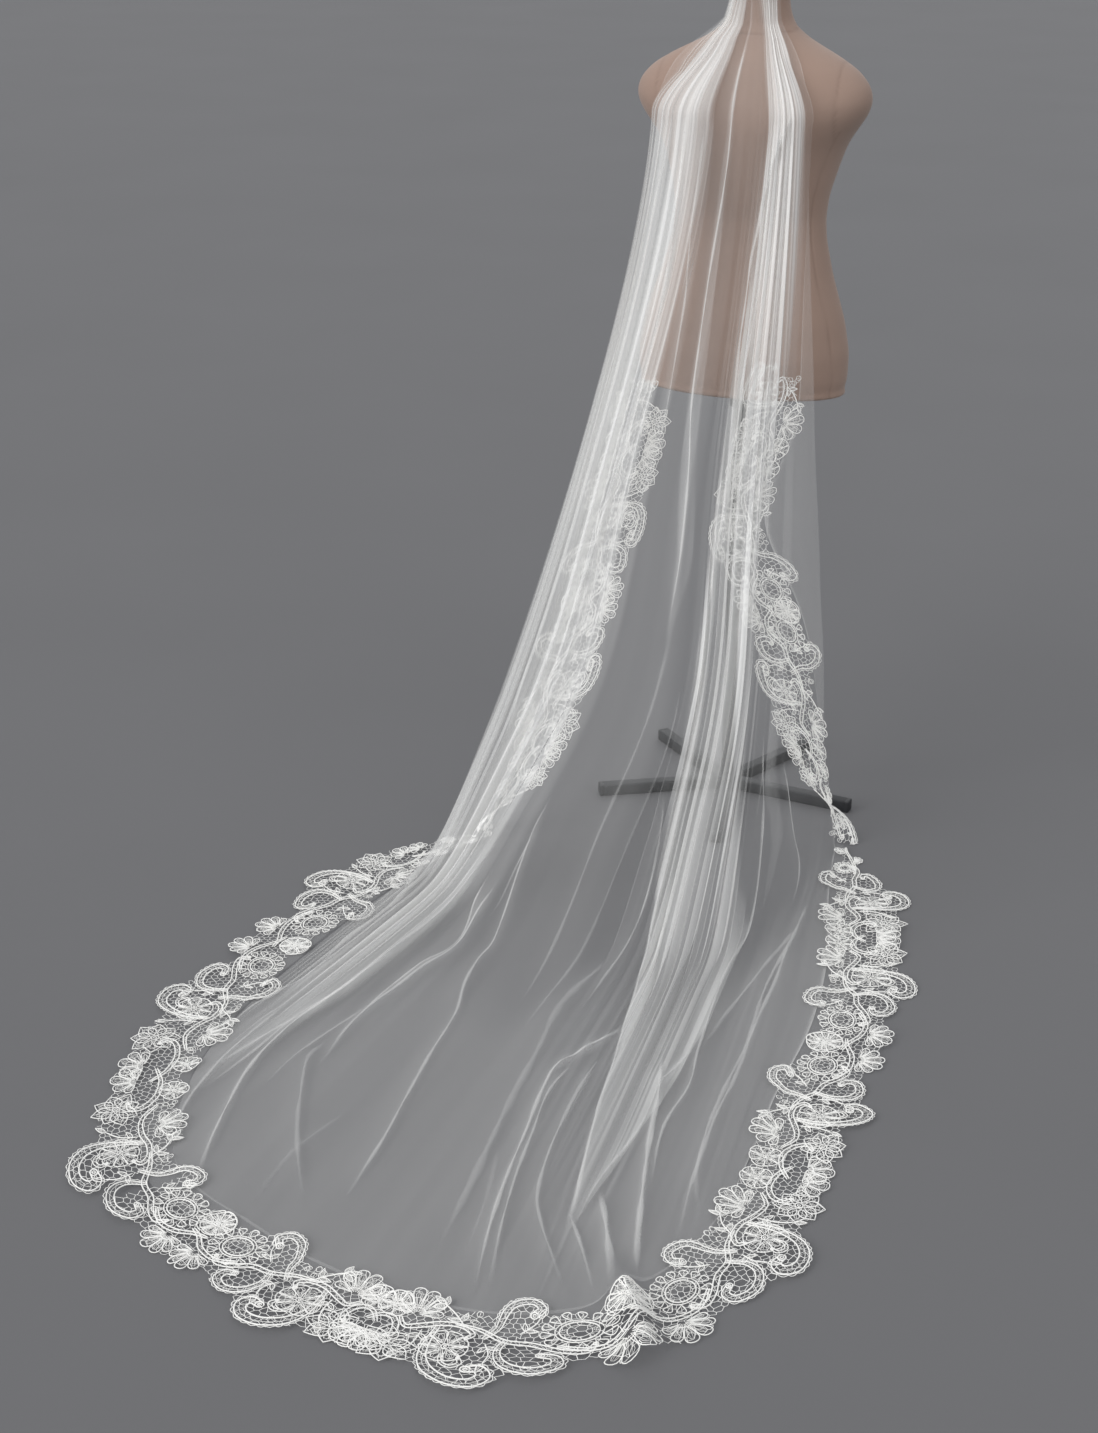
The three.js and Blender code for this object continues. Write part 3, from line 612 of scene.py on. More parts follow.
# bands of gathered net: how far down (minus the height in the fall, then thousandths of the
# way over the floor), middle and half width counted in guide folds, layers of net, softness of the sides
bands = [
    [(-1500, 2.3, 1.0, 5, 0.6), (-1400, 2.4, 0.7, 9, 0.5), (-1250, 2.3, 0.5, 13, 0.4),
     (-1050, 2.4, 0.5, 13, 0.35), (-800, 2.5, 0.55, 11, 0.35), (-450, 2.65, 0.5, 8, 0.35),
     (-200, 2.75, 0.55, 6.5, 0.3), (0, 2.8, 0.55, 5.5, 0.2), (200, 2.75, 0.5, 5, 0.15),
     (450, 2.65, 0.5, 4, 0.1), (600, 2.5, 0.45, 3, 0.1), (800, 2.4, 0.4, 1.2, 0.15),
     (1000, 2.2, 0.4, 0.4, 0.2)],
    [(-1500, 1.4, 0.8, 1, 0.5), (-1250, 1.6, 0.6, 2, 0.3), (-800, 1.7, 0.6, 2, 0.25),
     (-450, 1.8, 0.6, 1.4, 0.2), (0, 2.0, 0.5, 1, 0.15), (450, 2.1, 0.3, 0.8, 0.1),
     (1000, 2.0, 0.2, 0.2, 0.1)],
    [(-1500, 8.6, 2.2, 3.5, 0.6), (-1400, 8.8, 1.6, 9, 0.5), (-1250, 8.6, 1.3, 12, 0.4),
     (-1050, 8.4, 1.3, 10, 0.4), (-800, 8.0, 1.2, 3.6, 0.3), (-600, 7.4, 1.0, 2.6, 0.2),
     (-450, 7.2, 1.0, 2.3, 0.2), (-300, 7.3, 1.1, 2, 0.1), (0, 7.9, 1.4, 2.2, 0.05),
     (300, 8.3, 1.0, 2.6, 0.05), (500, 8.3, 0.7, 2.6, 0.03), (700, 8.2, 0.25, 2.4, 0.03),
     (800, 8.2, 0.05, 1.5, 0.03), (1000, 8.2, 0.02, 0, 0.03)],
    [(-1500, 0.9, 0.6, 1, 0.4), (-1250, 3.1, 0.3, 1.8, 0.3), (-1000, 3.5, 0.25, 1.4, 0.2),
     (-750, 3.9, 0.2, 0.9, 0.2), (-400, 3.6, 0.3, 1.2, 0.2), (0, 3.7, 0.3, 0.8, 0.1),
     (500, 3.6, 0.2, 0, 0.1)],
    [(-1500, 4.7, 0.3, 0.6, 0.2), (-1400, 4.7, 0.1, 1.6, 0.1), (-1200, 4.5, 0.1, 1.8, 0.05),
     (-850, 4.8, 0.2, 1.6, 0.05), (-600, 5.2, 0.15, 1.5, 0.05), (-500, 5.0, 0.05, 1, 0.05),
     (-400, 5.0, 0.01, 0, 0.05)],
    [(-1500, 10.6, 0.2, 0, 0.2), (-900, 9.8, 0.2, 1.2, 0.1), (-500, 9.7, 0.2, 2, 0.05),
     (-250, 9.5, 0.15, 2.2, 0.05), (-100, 9.8, 0.1, 1.6, 0.05), (0, 9.6, 0.03, 0.5, 0.04),
     (100, 9.5, 0.01, 0, 0.04)],
    [(-1500, 6.5, 0.4, 0, 0.3), (-1400, 6.9, 0.3, 1.5, 0.3), (-1250, 7.3, 0.2, 5, 0.1),
     (-1050, 7.1, 0.2, 5, 0.1), (-800, 6.7, 0.25, 4.6, 0.1), (-450, 6.2, 0.3, 5, 0.1),
     (-300, 6.3, 0.3, 5, 0.1), (-100, 6.5, 0.3, 4.8, 0.1), (0, 6.9, 0.25, 4.2, 0.1),
     (200, 7.2, 0.2, 3, 0.1), (400, 7.5, 0.1, 1, 0.05), (1000, 8.0, 0.02, 0, 0.05)],
    [(-1500, 8.2, 0.3, 1, 0.3), (-1250, 8.5, 0.25, 3.5, 0.1), (-850, 8.5, 0.2, 4, 0.1),
     (-500, 8.1, 0.25, 4.2, 0.1), (-300, 8.4, 0.25, 3.6, 0.1), (0, 8.9, 0.2, 2.2, 0.1),
     (300, 9.1, 0.1, 1.2, 0.05), (1000, 8.4, 0.02, 0, 0.05)],
]

# single folds, their lines given in pixels of the picture, then in millimetres: ridge height, steep
# side, soft side; layers of net; half width of the line
creases = [
    ([(556, 795), (538, 845), (520, 900), (500, 945), (482, 965), (465, 990), (455, 1020), (430, 1060),
      (405, 1105), (380, 1150), (345, 1200)], 9, 5, 26, 2.2, 2.2),
    ([(500, 880), (480, 915), (460, 950), (430, 967), (400, 990), (370, 1010), (345, 1035), (322, 1065)],
      9, 4, 18, 2.4, 2.2),
    ([(495, 870), (470, 925), (455, 950), (420, 970), (380, 1000), (350, 1032)], 8, -4, 16, 2.0, 1.8),
    ([(545, 830), (525, 870), (505, 905), (487, 925)], 8, 4, 16, 1.8, 1.8),
    ([(400, 955), (350, 990), (310, 1015), (275, 1045), (250, 1075), (235, 1100), (215, 1140),
      (197, 1180)], 10, 4, 24, 3.0, 2.4),
    ([(345, 990), (300, 1022), (250, 1048), (200, 1078)], 8, 4, 20, 2.2, 2.2),
    ([(330, 1040), (307, 1065), (300, 1100), (299, 1150), (303, 1200)], 11, 8, 30, 1.2, 3.0),
    ([(290, 1005), (235, 1052), (200, 1090), (180, 1120), (168, 1150)], 8, 4, 20, 2.0, 2.0),
    ([(370, 1010), (330, 1035), (290, 1065), (258, 1092)], 7, 4, 20, 1.4, 1.8),
    ([(470, 800), (440, 850), (400, 905), (350, 945), (300, 985), (250, 1010), (200, 1030)],
      5, -3, 14, 1.4, 1.8),
    ([(500, 850), (450, 912), (400, 952), (350, 990), (300, 1020), (250, 1060), (200, 1090)],
      10, 4, 20, 2.0, 2.2),
    ([(610, 955), (580, 988), (555, 1020), (535, 1058), (510, 1110), (490, 1150), (468, 1195),
      (440, 1245)], 9, 9, 30, 0.9, 5.0),
    ([(625, 1030), (590, 1052), (560, 1070), (545, 1092), (525, 1140), (505, 1190), (490, 1235),
      (475, 1290)], 10, 4, 22, 2.8, 2.4),
    ([(575, 1062), (547, 1100), (532, 1140), (517, 1180), (502, 1230), (490, 1290)], 8, 4, 18, 2.0, 2.0),
    ([(600, 1060), (570, 1110), (550, 1155), (538, 1200), (541, 1228), (551, 1255), (565, 1290)],
      9, 4, 20, 1.8, 2.2),
    ([(665, 870), (650, 950), (620, 1050), (600, 1110), (580, 1190), (568, 1230)], 8, -3, 16, 2.6, 2.0),
    ([(568, 1210), (578, 1240), (588, 1270), (597, 1300)], 9, 4, 16, 2.2, 2.0),
    ([(695, 1050), (660, 1090), (640, 1130), (600, 1182), (570, 1232)], 7, 3, 14, 2.0, 1.8),
    ([(662, 1060), (658, 1100), (648, 1150), (643, 1200), (638, 1250), (632, 1300)], 11, 4, 18, 3.0, 3.5),
    ([(600, 1190), (606, 1230), (613, 1270), (620, 1300)], 12, 5, 18, 3.0, 5.0),
    ([(800, 930), (770, 962), (740, 1000), (715, 1032), (700, 1052)], 7, 5, 22, 1.2, 2.6),
    ([(808, 905), (790, 945), (765, 990), (747, 1050), (722, 1100), (705, 1140), (697, 1180),
      (698, 1215)], 9, 5, 24, 1.6, 2.8),
    ([(790, 945), (775, 985), (755, 1025), (735, 1080), (713, 1125), (690, 1190), (678, 1240)],
      9, -5, 22, 1.6, 2.6),
    ([(780, 750), (788, 820), (795, 870), (791, 910)], 6, 4, 14, 1.8, 1.8),
    ([(663, 790), (650, 880), (628, 940), (600, 987), (580, 1010)], 7, 4, 18, 1.6, 1.8),
    ([(760, 740), (760, 850), (745, 930), (727, 970), (702, 1040), (690, 1090), (663, 1130), (650, 1190)],
      6, 3, 16, 2.2, 1.8),
    ([(747, 40), (727, 160), (712, 270), (699, 383), (690, 470), (682, 551), (667, 634)],
      7, 4, 14, 2.6, 1.8),
    ([(793, 107), (775, 150), (763, 190), (752, 250), (742, 330), (735, 420), (728, 500)],
      8, 4, 16, 2.6, 2.2),
    ([(775, 130), (765, 250), (750, 350), (735, 450), (715, 560), (700, 650), (690, 740)],
      7, 4, 18, 2.4, 2.2),
    ([(690, 100), (680, 200), (665, 300), (640, 400), (610, 500), (580, 600), (545, 700)],
      6, 4, 16, 2.2, 2.2),
    ([(675, 110), (660, 200), (640, 300), (610, 420), (575, 540), (540, 650), (505, 750)],
      6, 4, 16, 2.0, 2.2),
    ([(705, 120), (695, 220), (688, 300), (675, 380), (660, 450)], 5, 4, 14, 1.8, 1.8),
]
# faint folds, given in counts of folds and distance down
faintCreases = [
    ([(5, -480), (4.9, -250), (5, -60), (5, 120)], 4, 6, 20, 0.6, 2.4),
    ([(5.4, -420), (5.3, -200), (5.3, 0), (5.3, 240)], 4, 6, 20, 0.6, 2.4),
    ([(5.9, 620), (6.2, 760), (6.4, 900)], 5, 8, 24, 0.5, 3),
    ([(4.4, 640), (4.3, 800), (4.3, 960)], 5, 8, 24, 0.5, 3),
]


def onSheet(pixels):
    # fold count and distance down of the sheet's point that shows nearest to each pixel; where the sheet
    # lies over itself, a jump of one fold counts for twelve pixels
    jump, found, last = 12, [], None
    for pixel in pixels:
        far = np.hypot(*(basePixels - np.array(pixel)).transpose(2, 0, 1))
        if last is not None:
            far = far + jump * np.abs(place - last)[None, :]
        row, column = np.unravel_index(np.argmin(far), far.shape)
        last = place[column]
        found.append((last, down[row]))
    return found


basePixels = inPicture(base)
creases = [(onSheet(pixels), *rest) for pixels, *rest in creases] + faintCreases


def bandLayers():
    # sum over the bands of layers times a soft-sided step of the distance from the band's middle
    total = np.zeros((len(down), len(place)))
    for rows in bands:
        table = np.array(rows, float)
        columns = (np.interp(down, table[:, 0], table[:, k])[:, None] for k in (1, 2, 3, 4))
        middle, half, layers, soft = columns
        total += layers * (1 - smoothstep(np.abs(place[None, :] - middle), half - soft, half + soft))
    return total


def surfaceAt(counts, downs, sheet=None):
    # place and normal on the base sheet, or another one, for counts of folds and distances down
    row = np.interp(downs, down, np.arange(len(down)))
    column = np.interp(counts, place, np.arange(len(place)))
    r, c = np.clip(row.astype(int), 0, len(down) - 2), np.clip(column.astype(int), 0, len(place) - 2)
    a, b = (row - r)[:, None], (column - c)[:, None]

    def blended(grid):
        return mix(mix(grid[r, c], grid[r, c + 1], b), mix(grid[r + 1, c], grid[r + 1, c + 1], b), a)
    return blended(base if sheet is None else sheet), unit(blended(baseNormal))


def creaseCurve(line, steps):
    # curve through a crease's points, a fold counted as long as 100 mm
    scale = np.array([100.0, 1.0])
    return alongCurve(np.array(line, float) * scale, steps)[0] / scale


def creaseFields():
    # ridge height and layers from every crease, by the distance d to its line: the ridge falls off as
    # exp(-(d / steep)^2) on one side and exp(-(d / soft)^1.3) on the other, the layers as a narrow core
    # and a wide glow on the soft side
    height, layers = np.zeros(base.shape[:2]), np.zeros(base.shape[:2])
    for line, rise, steep, soft, extra, half in creases:
        curve = creaseCurve(line, 10)
        spots, normals = surfaceAt(*curve.T)
        run = lengthSoFar(spots)
        low, high = spots.min(0) - 70, spots.max(0) + 70
        near = np.nonzero(((base > low) & (base < high)).all(-1))
        points = base[near]
        best, where, aside = np.full(len(points), 1e9), np.zeros(len(points)), np.zeros(len(points))
        for k in range(len(spots) - 1):
            a, d = spots[k], spots[k + 1] - spots[k]
            length = np.linalg.norm(d)
            t = np.clip((points - a) @ d / (length * length + 1e-9), 0, 1)
            off = points - a - t[:, None] * d
            far = np.einsum("ij,ij->i", off, off)
            closer = far < best
            best = np.where(closer, far, best)
            where = np.where(closer, run[k] + t * length, where)
            aside = np.where(closer, off @ np.cross(normals[k], d / (length + 1e-9)), aside)
        far = np.sqrt(best)
        fade = smoothstep(where, 0, 70) * (1 - 0.9 * smoothstep(where, run[-1] - 110, run[-1]))
        steepSide = aside * np.sign(steep) > 0
        ridge = np.where(steepSide, np.exp(-(far / abs(steep)) ** 2), np.exp(-(far / soft) ** 1.3))
        height[near] = np.maximum(height[near], rise * fade * ridge)
        core, glow = np.exp(-(far / (half + 2)) ** 2), np.where(steepSide, 0, np.exp(-(far / soft) ** 2))
        layers[near] += extra * fade * (0.28 * core + 0.16 * glow)
    return height, layers


gathered = bandLayers()
creaseRise, creaseLayers = creaseFields()


def drapedVeil():
    # base sheet moved along its normal by wide and fine pleats; in the bundles the fine pleats also swing
    # sideways by -L sin(2 phase), so that they fold over each other
    heights, shares = [0, 400, 800, 1270, 1390, 1450, 1503], [1.1, 1.0, 0.85, 0.36, 0.24, 0.22, 0.2]
    heightShare = np.interp(rowZ, heights, shares)
    persist = np.interp(place, np.arange(foldCount), cloth["persist"])
    fade = (1 - rowShare[:, None]) ** persist[None, :]
    amount = np.maximum(0, acrossFolds(depth, place))[None, :] * heightShare[:, None] * fade
    widePhase = np.concatenate([[0], np.cumsum(widePleats[:-1])])
    wide = 2 * np.pi * np.interp(place, np.arange(foldCount), widePhase)
    drift = 0.2 * np.sin(rowRun / 310)[:, None] * np.sin(phase * 0.9 + 1.3)[None, :]
    drift = drift + 0.08 * np.sin(rowRun / 150 + 1)[:, None] * np.sin(phase * 2.3)[None, :]
    turn = 2 * np.pi * phase[None, :] + drift * 2.6
    spacing = np.linalg.norm(np.gradient(base, phase, axis=1), axis=-1)
    size = pleatSize[None, :] * (0.75 + 0.25 * np.sin(rowRun / 240)[:, None] * np.sin(phase * 1.7)[None, :])
    fine = np.minimum(amount * 0.5 * size, spacing * mix(0.14, 0.36, bundling)[None, :])
    outward = amount * 0.55 * (1 + np.sin(wide)) + fine * (1 - np.cos(turn)) + creaseRise
    sideways = -spacing * 0.14 * (bundling * np.minimum(pleatSize, 1))[None, :] * fade * np.sin(2 * turn)
    points = base + baseNormal * outward[..., None] + baseAcross * sideways[..., None]
    floorWeight = smoothstep(rowShare, 0.0, 0.12)[:, None]
    floorWeight = floorWeight * (1 - rowShare[:, None] ** 4)
    for height, cycles, bend, length in ((1.0, 8.1, 0.8, 130), (0.35, 23, 1.6, 90)):
        wander = bend * np.sin(rowRun / length)[:, None]
        points[..., 2] += height * (1 + np.sin(place * cycles + wander)) * floorWeight
    points[..., 2] = np.maximum(points[..., 2], 0.5)
    # nothing goes into the form
    high = rowZ > 780
    back = backOfForm(points[high, :, 0], rowZ[high][:, None], 3.0)
    points[high, :, 1] = np.minimum(points[high, :, 1], np.where(rowZ[high][:, None] > 1412, 1e6, back))
    return points


veil = drapedVeil()
square = np.abs((surfaceNormals(veil)[0] * baseNormal).sum(-1))
overlap = 1 / np.maximum(square, 0.3)


def streaks():
    # bright and faint lines along the folds: sines of the fold count with slowly turning phases
    total = np.zeros(gathered.shape)
    for cycles, share, length in ((1.7, 0.3, 520), (4.3, 0.4, 400), (9.7, 0.3, 330), (19.0, 0.2, 260)):
        bend = rng.uniform(0, 6.3, 3)
        wander = np.sin(rowRun / length + bend[0])[:, None] * np.sin(place * cycles * 0.31 + bend[1])[None, :]
        total += share * np.tanh(3 * np.sin(cycles * place[None, :] * 1.9 + bend[2] + 1.1 * wander))
    return total


strength = 1 + streaks() * np.clip(0.08 + gathered * 0.08, 0, 0.42)
single = 1 + 0.9 * smoothstep(rowShare, 0, 0.3)[:, None]
layers = (single + gathered * (1 + 0.15 * (single - 1))) * strength + creaseLayers * 1.5
density = 1 - (1 - cloth["netShare"]) ** (np.maximum(layers, 0.55) * mix(1.0, overlap, 0.5))


def foldStrips(belongs):
    # pinched net along each crease that belongs to a piece: a strip seven points wide on the draped sheet,
    # its layers greatest in the middle and fading to the crease's ends
    points, faces, shares, start = [], [], [], 0
    for line, rise, steep, soft, extra, half in creases:
        line = np.array(line, float)
        fold, depthDown = np.median(line[:, 0]), np.median(line[:, 1])
        hanging = "left" if fold < 3 else "centre" if fold < 6 else "right"
        if belongs != ("train" if depthDown > 0 else hanging):
            continue
        curve = creaseCurve(line, 12)
        spots, normals = surfaceAt(*curve.T, veil)
        for _ in range(6):
            spots[1:-1] += ((spots[:-2] + spots[2:]) / 2 - spots[1:-1]) * 0.5
        run = lengthSoFar(spots)
        ahead = unit(np.gradient(spots, axis=0))
        side = unit(np.cross(normals, ahead))
        waver = 1 + 0.35 * np.sin(run / 37 + fold * 5) + 0.2 * np.sin(run / 13 + fold)
        across = np.linspace(-1, 1, 7)
        reach = (half * 1.1 * waver)[:, None] * across
        raised = (0.5 - 0.25 * np.abs(reach))[..., None]
        sheet = spots[:, None] + side[:, None] * reach[..., None] + normals[:, None] * raised
        sheet[..., 2] = np.maximum(sheet[..., 2], 0.7)
        fade = smoothstep(run, 0, 60) * (1 - smoothstep(run, run[-1] - 130, run[-1]))
        points.append(sheet.reshape(-1, 3))
        faces.append(gridFaces(len(spots), 7)[:, ::-1] + start)
        pinched = extra * (2.6 if depthDown < 0 else 2.0) * fade[:, None] * (1 - across ** 2)
        shares.append((1 - (1 - cloth["netShare"]) ** pinched).ravel())
        start += len(points[-1])
    return np.concatenate(points), np.concatenate(faces), np.concatenate(shares)


selvedge = np.exp(-((phase / 0.1) ** 2)) + np.exp(-(((phase[-1] - phase) / 0.1) ** 2))
density = np.clip(density + 0.25 * selvedge[None, :], 0, 0.97)


# lace border

lace = {
    "width": 122.0, "hangingWidth": 104.0, "startWidth": 38.0,
    "lobes": [290, 720, 1120, 1470, 1690, 2070, 2400, 2780],
    "mainCord": 1.1, "cord": 0.84, "thinCord": 0.46, "bar": 0.34, "mesh": 10.0, "groundReach": 20.0,
    "base": 1.4, "lift": 0.6, "underlay": 46.0,
    "leftTop": 800.0, "rightTop": 870.0, "turnHeight": 75.0, "curl": -0.6, "hangingBase": 1.5,
}


def floorWidth(run):
    return mix(lace["startWidth"], lace["width"], smoothstep(np.minimum(run, seamLength - run), 0, 250))


def onFloorLace(run, across):
    # place on the floor: out from the seam line by the width across, lying on small swells
    share = np.clip(run / seamLength, 0, 1)
    edge, tangent = seamPlace(share), seamTangent(share)
    over = run - share * seamLength
    x = edge[..., 0] + tangent[..., 1] * across + tangent[..., 0] * over
    y = edge[..., 1] - tangent[..., 0] * across + tangent[..., 1] * over
    swell = 2.2 * (1 + np.sin(run / 47 + across / 60)) * smoothstep(across, 20, 110)
    swell = swell + 1.2 * (1 + np.sin(run / 23 - across / 19))
    onNet = 4.5 * smoothstep(-across, -14, 4)
    return np.stack([x, y, lace["base"] + swell + onNet + pinchHeight(x, y)], -1)


def netPiece(name, rowFrom, rowTo, placeFrom, placeTo, nodes):
    first, last = np.searchsorted(place, placeFrom - 1e-9), np.searchsorted(place, placeTo + 1e-9)
    part = veil[rowFrom:rowTo + 1, first:last]
    shares = density[rowFrom:rowTo + 1, first:last]
    if name == "net_gathers":
        # stitched top: the gathers turn in over the neck to the comb's spine
        edge = part[0]
        spine = 1501.6 + 0.5 * np.sin(np.arange(len(edge)) * 1.3)
        stitched = np.stack([edge[:, 0] * 0.66, np.full(len(edge), -6.3), spine], -1)
        turn = np.linspace(0, 1, 10)[:-1, None, None]
        over = mix(stitched[None], edge[None], turn)
        gathers = 0.5 * np.sin(2 * np.pi * phase[first:last])[None, :]
        over[..., 2] += 1.6 * np.sin(np.pi * turn[..., 0]) + gathers * turn[..., 0]
        part = np.concatenate([over, part])
        shares = np.concatenate([np.repeat(np.clip(shares[:1] * 1.15, 0, 0.95), 9, axis=0), shares])
    rows, columns = part.shape[:2]
    points, faces = part.reshape(-1, 3), gridFaces(rows, columns)[:, ::-1]
    shares = shares.ravel()
    if name == "net_train":
        # the net goes on under the border, out from the seam line
        rowsUnder, columnsUnder = 560, 6
        run, across = np.meshgrid(np.linspace(0, seamLength, rowsUnder),
                                  np.linspace(0, lace["underlay"], columnsUnder), indexing="ij")
        under = onFloorLace(run, across * floorWidth(run) / lace["width"])
        under[..., 2] = np.maximum(under[..., 2] - 1.2, 0.4)
        faces = np.concatenate([faces, gridFaces(rowsUnder, columnsUnder) + len(points)])
        points = np.concatenate([points, under.reshape(-1, 3)])
        shares = np.concatenate([shares, np.full(run.size, cloth["netShare"] * 1.1)])
    if name != "net_gathers":
        stripPoints, stripFaces, stripShares = foldStrips(name.split("_")[1])
        faces = np.concatenate([faces, stripFaces + len(points)])
        points, shares = np.concatenate([points, stripPoints]), np.concatenate([shares, stripShares])
    piece = meshFrom(name, points, faces, tulle, {"veil density": shares})
    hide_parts(*nodes)
    width = np.median(np.linalg.norm(np.diff(part, axis=1), axis=-1).sum(1)) * mm
    length = np.median(np.linalg.norm(np.diff(part, axis=0), axis=-1).sum(0)) * mm
    sideways, downward = np.diff(part, axis=1)[:-1], np.diff(part, axis=0)[:, :-1]
    area = np.linalg.norm(np.cross(sideways, downward), axis=-1).sum() * mm * mm
    print(f"{name}: {2 * len(faces)} triangles, {width:.2f} x {length:.2f} m, {area:.2f} square metres")
    return piece, float(width), float(length), float(area)


gathers = netPiece("net_gathers", 0, neckRows - 1, 0, 12, ["veil_gathers"])
leftFall = netPiece("net_left_fall", neckRows - 1, fallRows - 1, 0, 3, ["veil_left_fall"])
centreFall = netPiece("net_centre_fall", neckRows - 1, fallRows - 1, 3, 6, ["veil_centre_fall"])
rightFall = netPiece("net_right_fall", neckRows - 1, fallRows - 1, 6, 12, ["veil_right_fall"])
trainNet = netPiece("net_train", fallRows - 1, len(rowKinds) - 1, 0, 12, ["veil_train"])
print("net made")

# comb, which the stitched top of the gathers turns in to

comb = {
    "teeth": 9, "pitch": 7.2, "width": 2.4, "length": 44, "spine": 5, "thickness": 2.2,
    "back": -5, "low": 1498.7,
}


def tubeAlong(path, radii, sides=12):
    # round wire of varying radius along a path, closed by points at its ends
    path, radii = np.array(path, float), np.array(radii, float)
    ahead = unit(np.gradient(path, axis=0))
    side = unit(np.cross(ahead, np.broadcast_to(np.array([0.0, 0.0, 1.0]), path.shape) + 1e-6))
    up = np.cross(side, ahead)
    turns = np.linspace(0, 2 * np.pi, sides, endpoint=False)[None, :, None]
    spokes = side[:, None] * np.cos(turns) + up[:, None] * np.sin(turns)
    return path[:, None] + spokes * radii[:, None, None], gridFaces(len(path), sides, closed=True)[:, ::-1]


def joined(parts):
    starts = np.cumsum([0] + [ring.size // 3 for ring, _ in parts])
    points = np.concatenate([ring.reshape(-1, 3) for ring, _ in parts])
    return points, np.concatenate([quads + start for (_, quads), start in zip(parts, starts)])


def makeComb():
    # wire comb: tapered round teeth towards the front, out of a rounded spine
    half = comb["thickness"] / 2
    middle = comb["low"] + half
    front = comb["back"] + comb["spine"]
    parts = []
    reach = (comb["teeth"] - 1) / 2 * comb["pitch"] + comb["width"] / 2
    for y in (front - 3.9, front - 2.5, front - 1.1):
        xs = np.linspace(-reach, reach, 41)
        parts.append(tubeAlong([(x, y, middle) for x in xs], [0.05] + [half * 0.98] * 39 + [0.05]))
    for k in range(comb["teeth"]):
        x = (k - (comb["teeth"] - 1) / 2) * comb["pitch"]
        tip = comb["length"]
        ys = np.concatenate([[0, 0.1], np.linspace(1, tip - 1, 14), [tip - 0.3, tip]]) + front
        taper = mix(half * 0.98, 0.62, np.linspace(0, 1, len(ys)) ** 1.5)
        taper[0], taper[-2], taper[-1] = 0.05, taper[-2] * 0.7, 0.05
        parts.append(tubeAlong([(x, y, middle) for y in ys], taper))
    points, faces = joined(parts)
    piece = meshFrom("comb_wire", points, faces, combWire)
    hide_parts("comb")


makeComb()
print("comb made")


def hangingLace(side):
    # place in the hanging border: the net's edge at that height, then out along an arc that keeps the net's
    # direction and turns outwards to the floor under the turning height
    column, inner, seamShare = (0, 1, 0.0) if side == "left" else (foldCount - 1, foldCount - 2, 1.0)
    curl, lean = (lace["curl"], -0.6) if side == "left" else (0.5, 0.82)
    heights = np.linspace(0, 900, 181)
    guides = np.stack([guidesInFall(z) for z in heights])
    edge, beside = guides[:, column, :2], guides[:, inner, :2]
    away = np.unwrap(np.arctan2((edge - beside)[:, 1], (edge - beside)[:, 0]))
    tangent = seamTangent(np.array([seamShare]))[0]
    floorAngle = np.arctan2(-tangent[0], tangent[1])
    floorAngle += 2 * np.pi * np.round((away[0] - floorAngle) / (2 * np.pi))
    top = lace[side + "Top"]

    def mapping(run, across):
        z = np.clip(run, 0, 900)
        turned = smoothstep(lace["turnHeight"] - z, 0, lace["turnHeight"])
        angle = mix(np.interp(z, heights, away) + lean * smoothstep(z, 15, 110), floorAngle, turned)
        width = hangingWidth(run, top)
        bend = curl * across / width
        small = np.where(np.abs(bend) < 1e-4, 1e-4, bend)
        middle = angle + small / 2
        chord = across * np.sin(small / 2) / (small / 2)
        x = np.interp(z, heights, edge[:, 0]) + chord * np.cos(middle)
        y = np.interp(z, heights, edge[:, 1]) + chord * np.sin(middle)
        y = y + 5 * np.sin(run / 60 + across / 45) * smoothstep(z, 60, 200)
        y = np.minimum(y, backOfForm(x, np.maximum(z, 788), 2.5))
        return np.stack([x, y, np.maximum(run, 1.5)], -1)
    return mapping


def hangingWidth(run, top):
    narrowing = 0.7 + 0.3 * smoothstep(top - run, 0, 90)
    return mix(lace["startWidth"], lace["hangingWidth"], smoothstep(run, 20, 190)) * narrowing


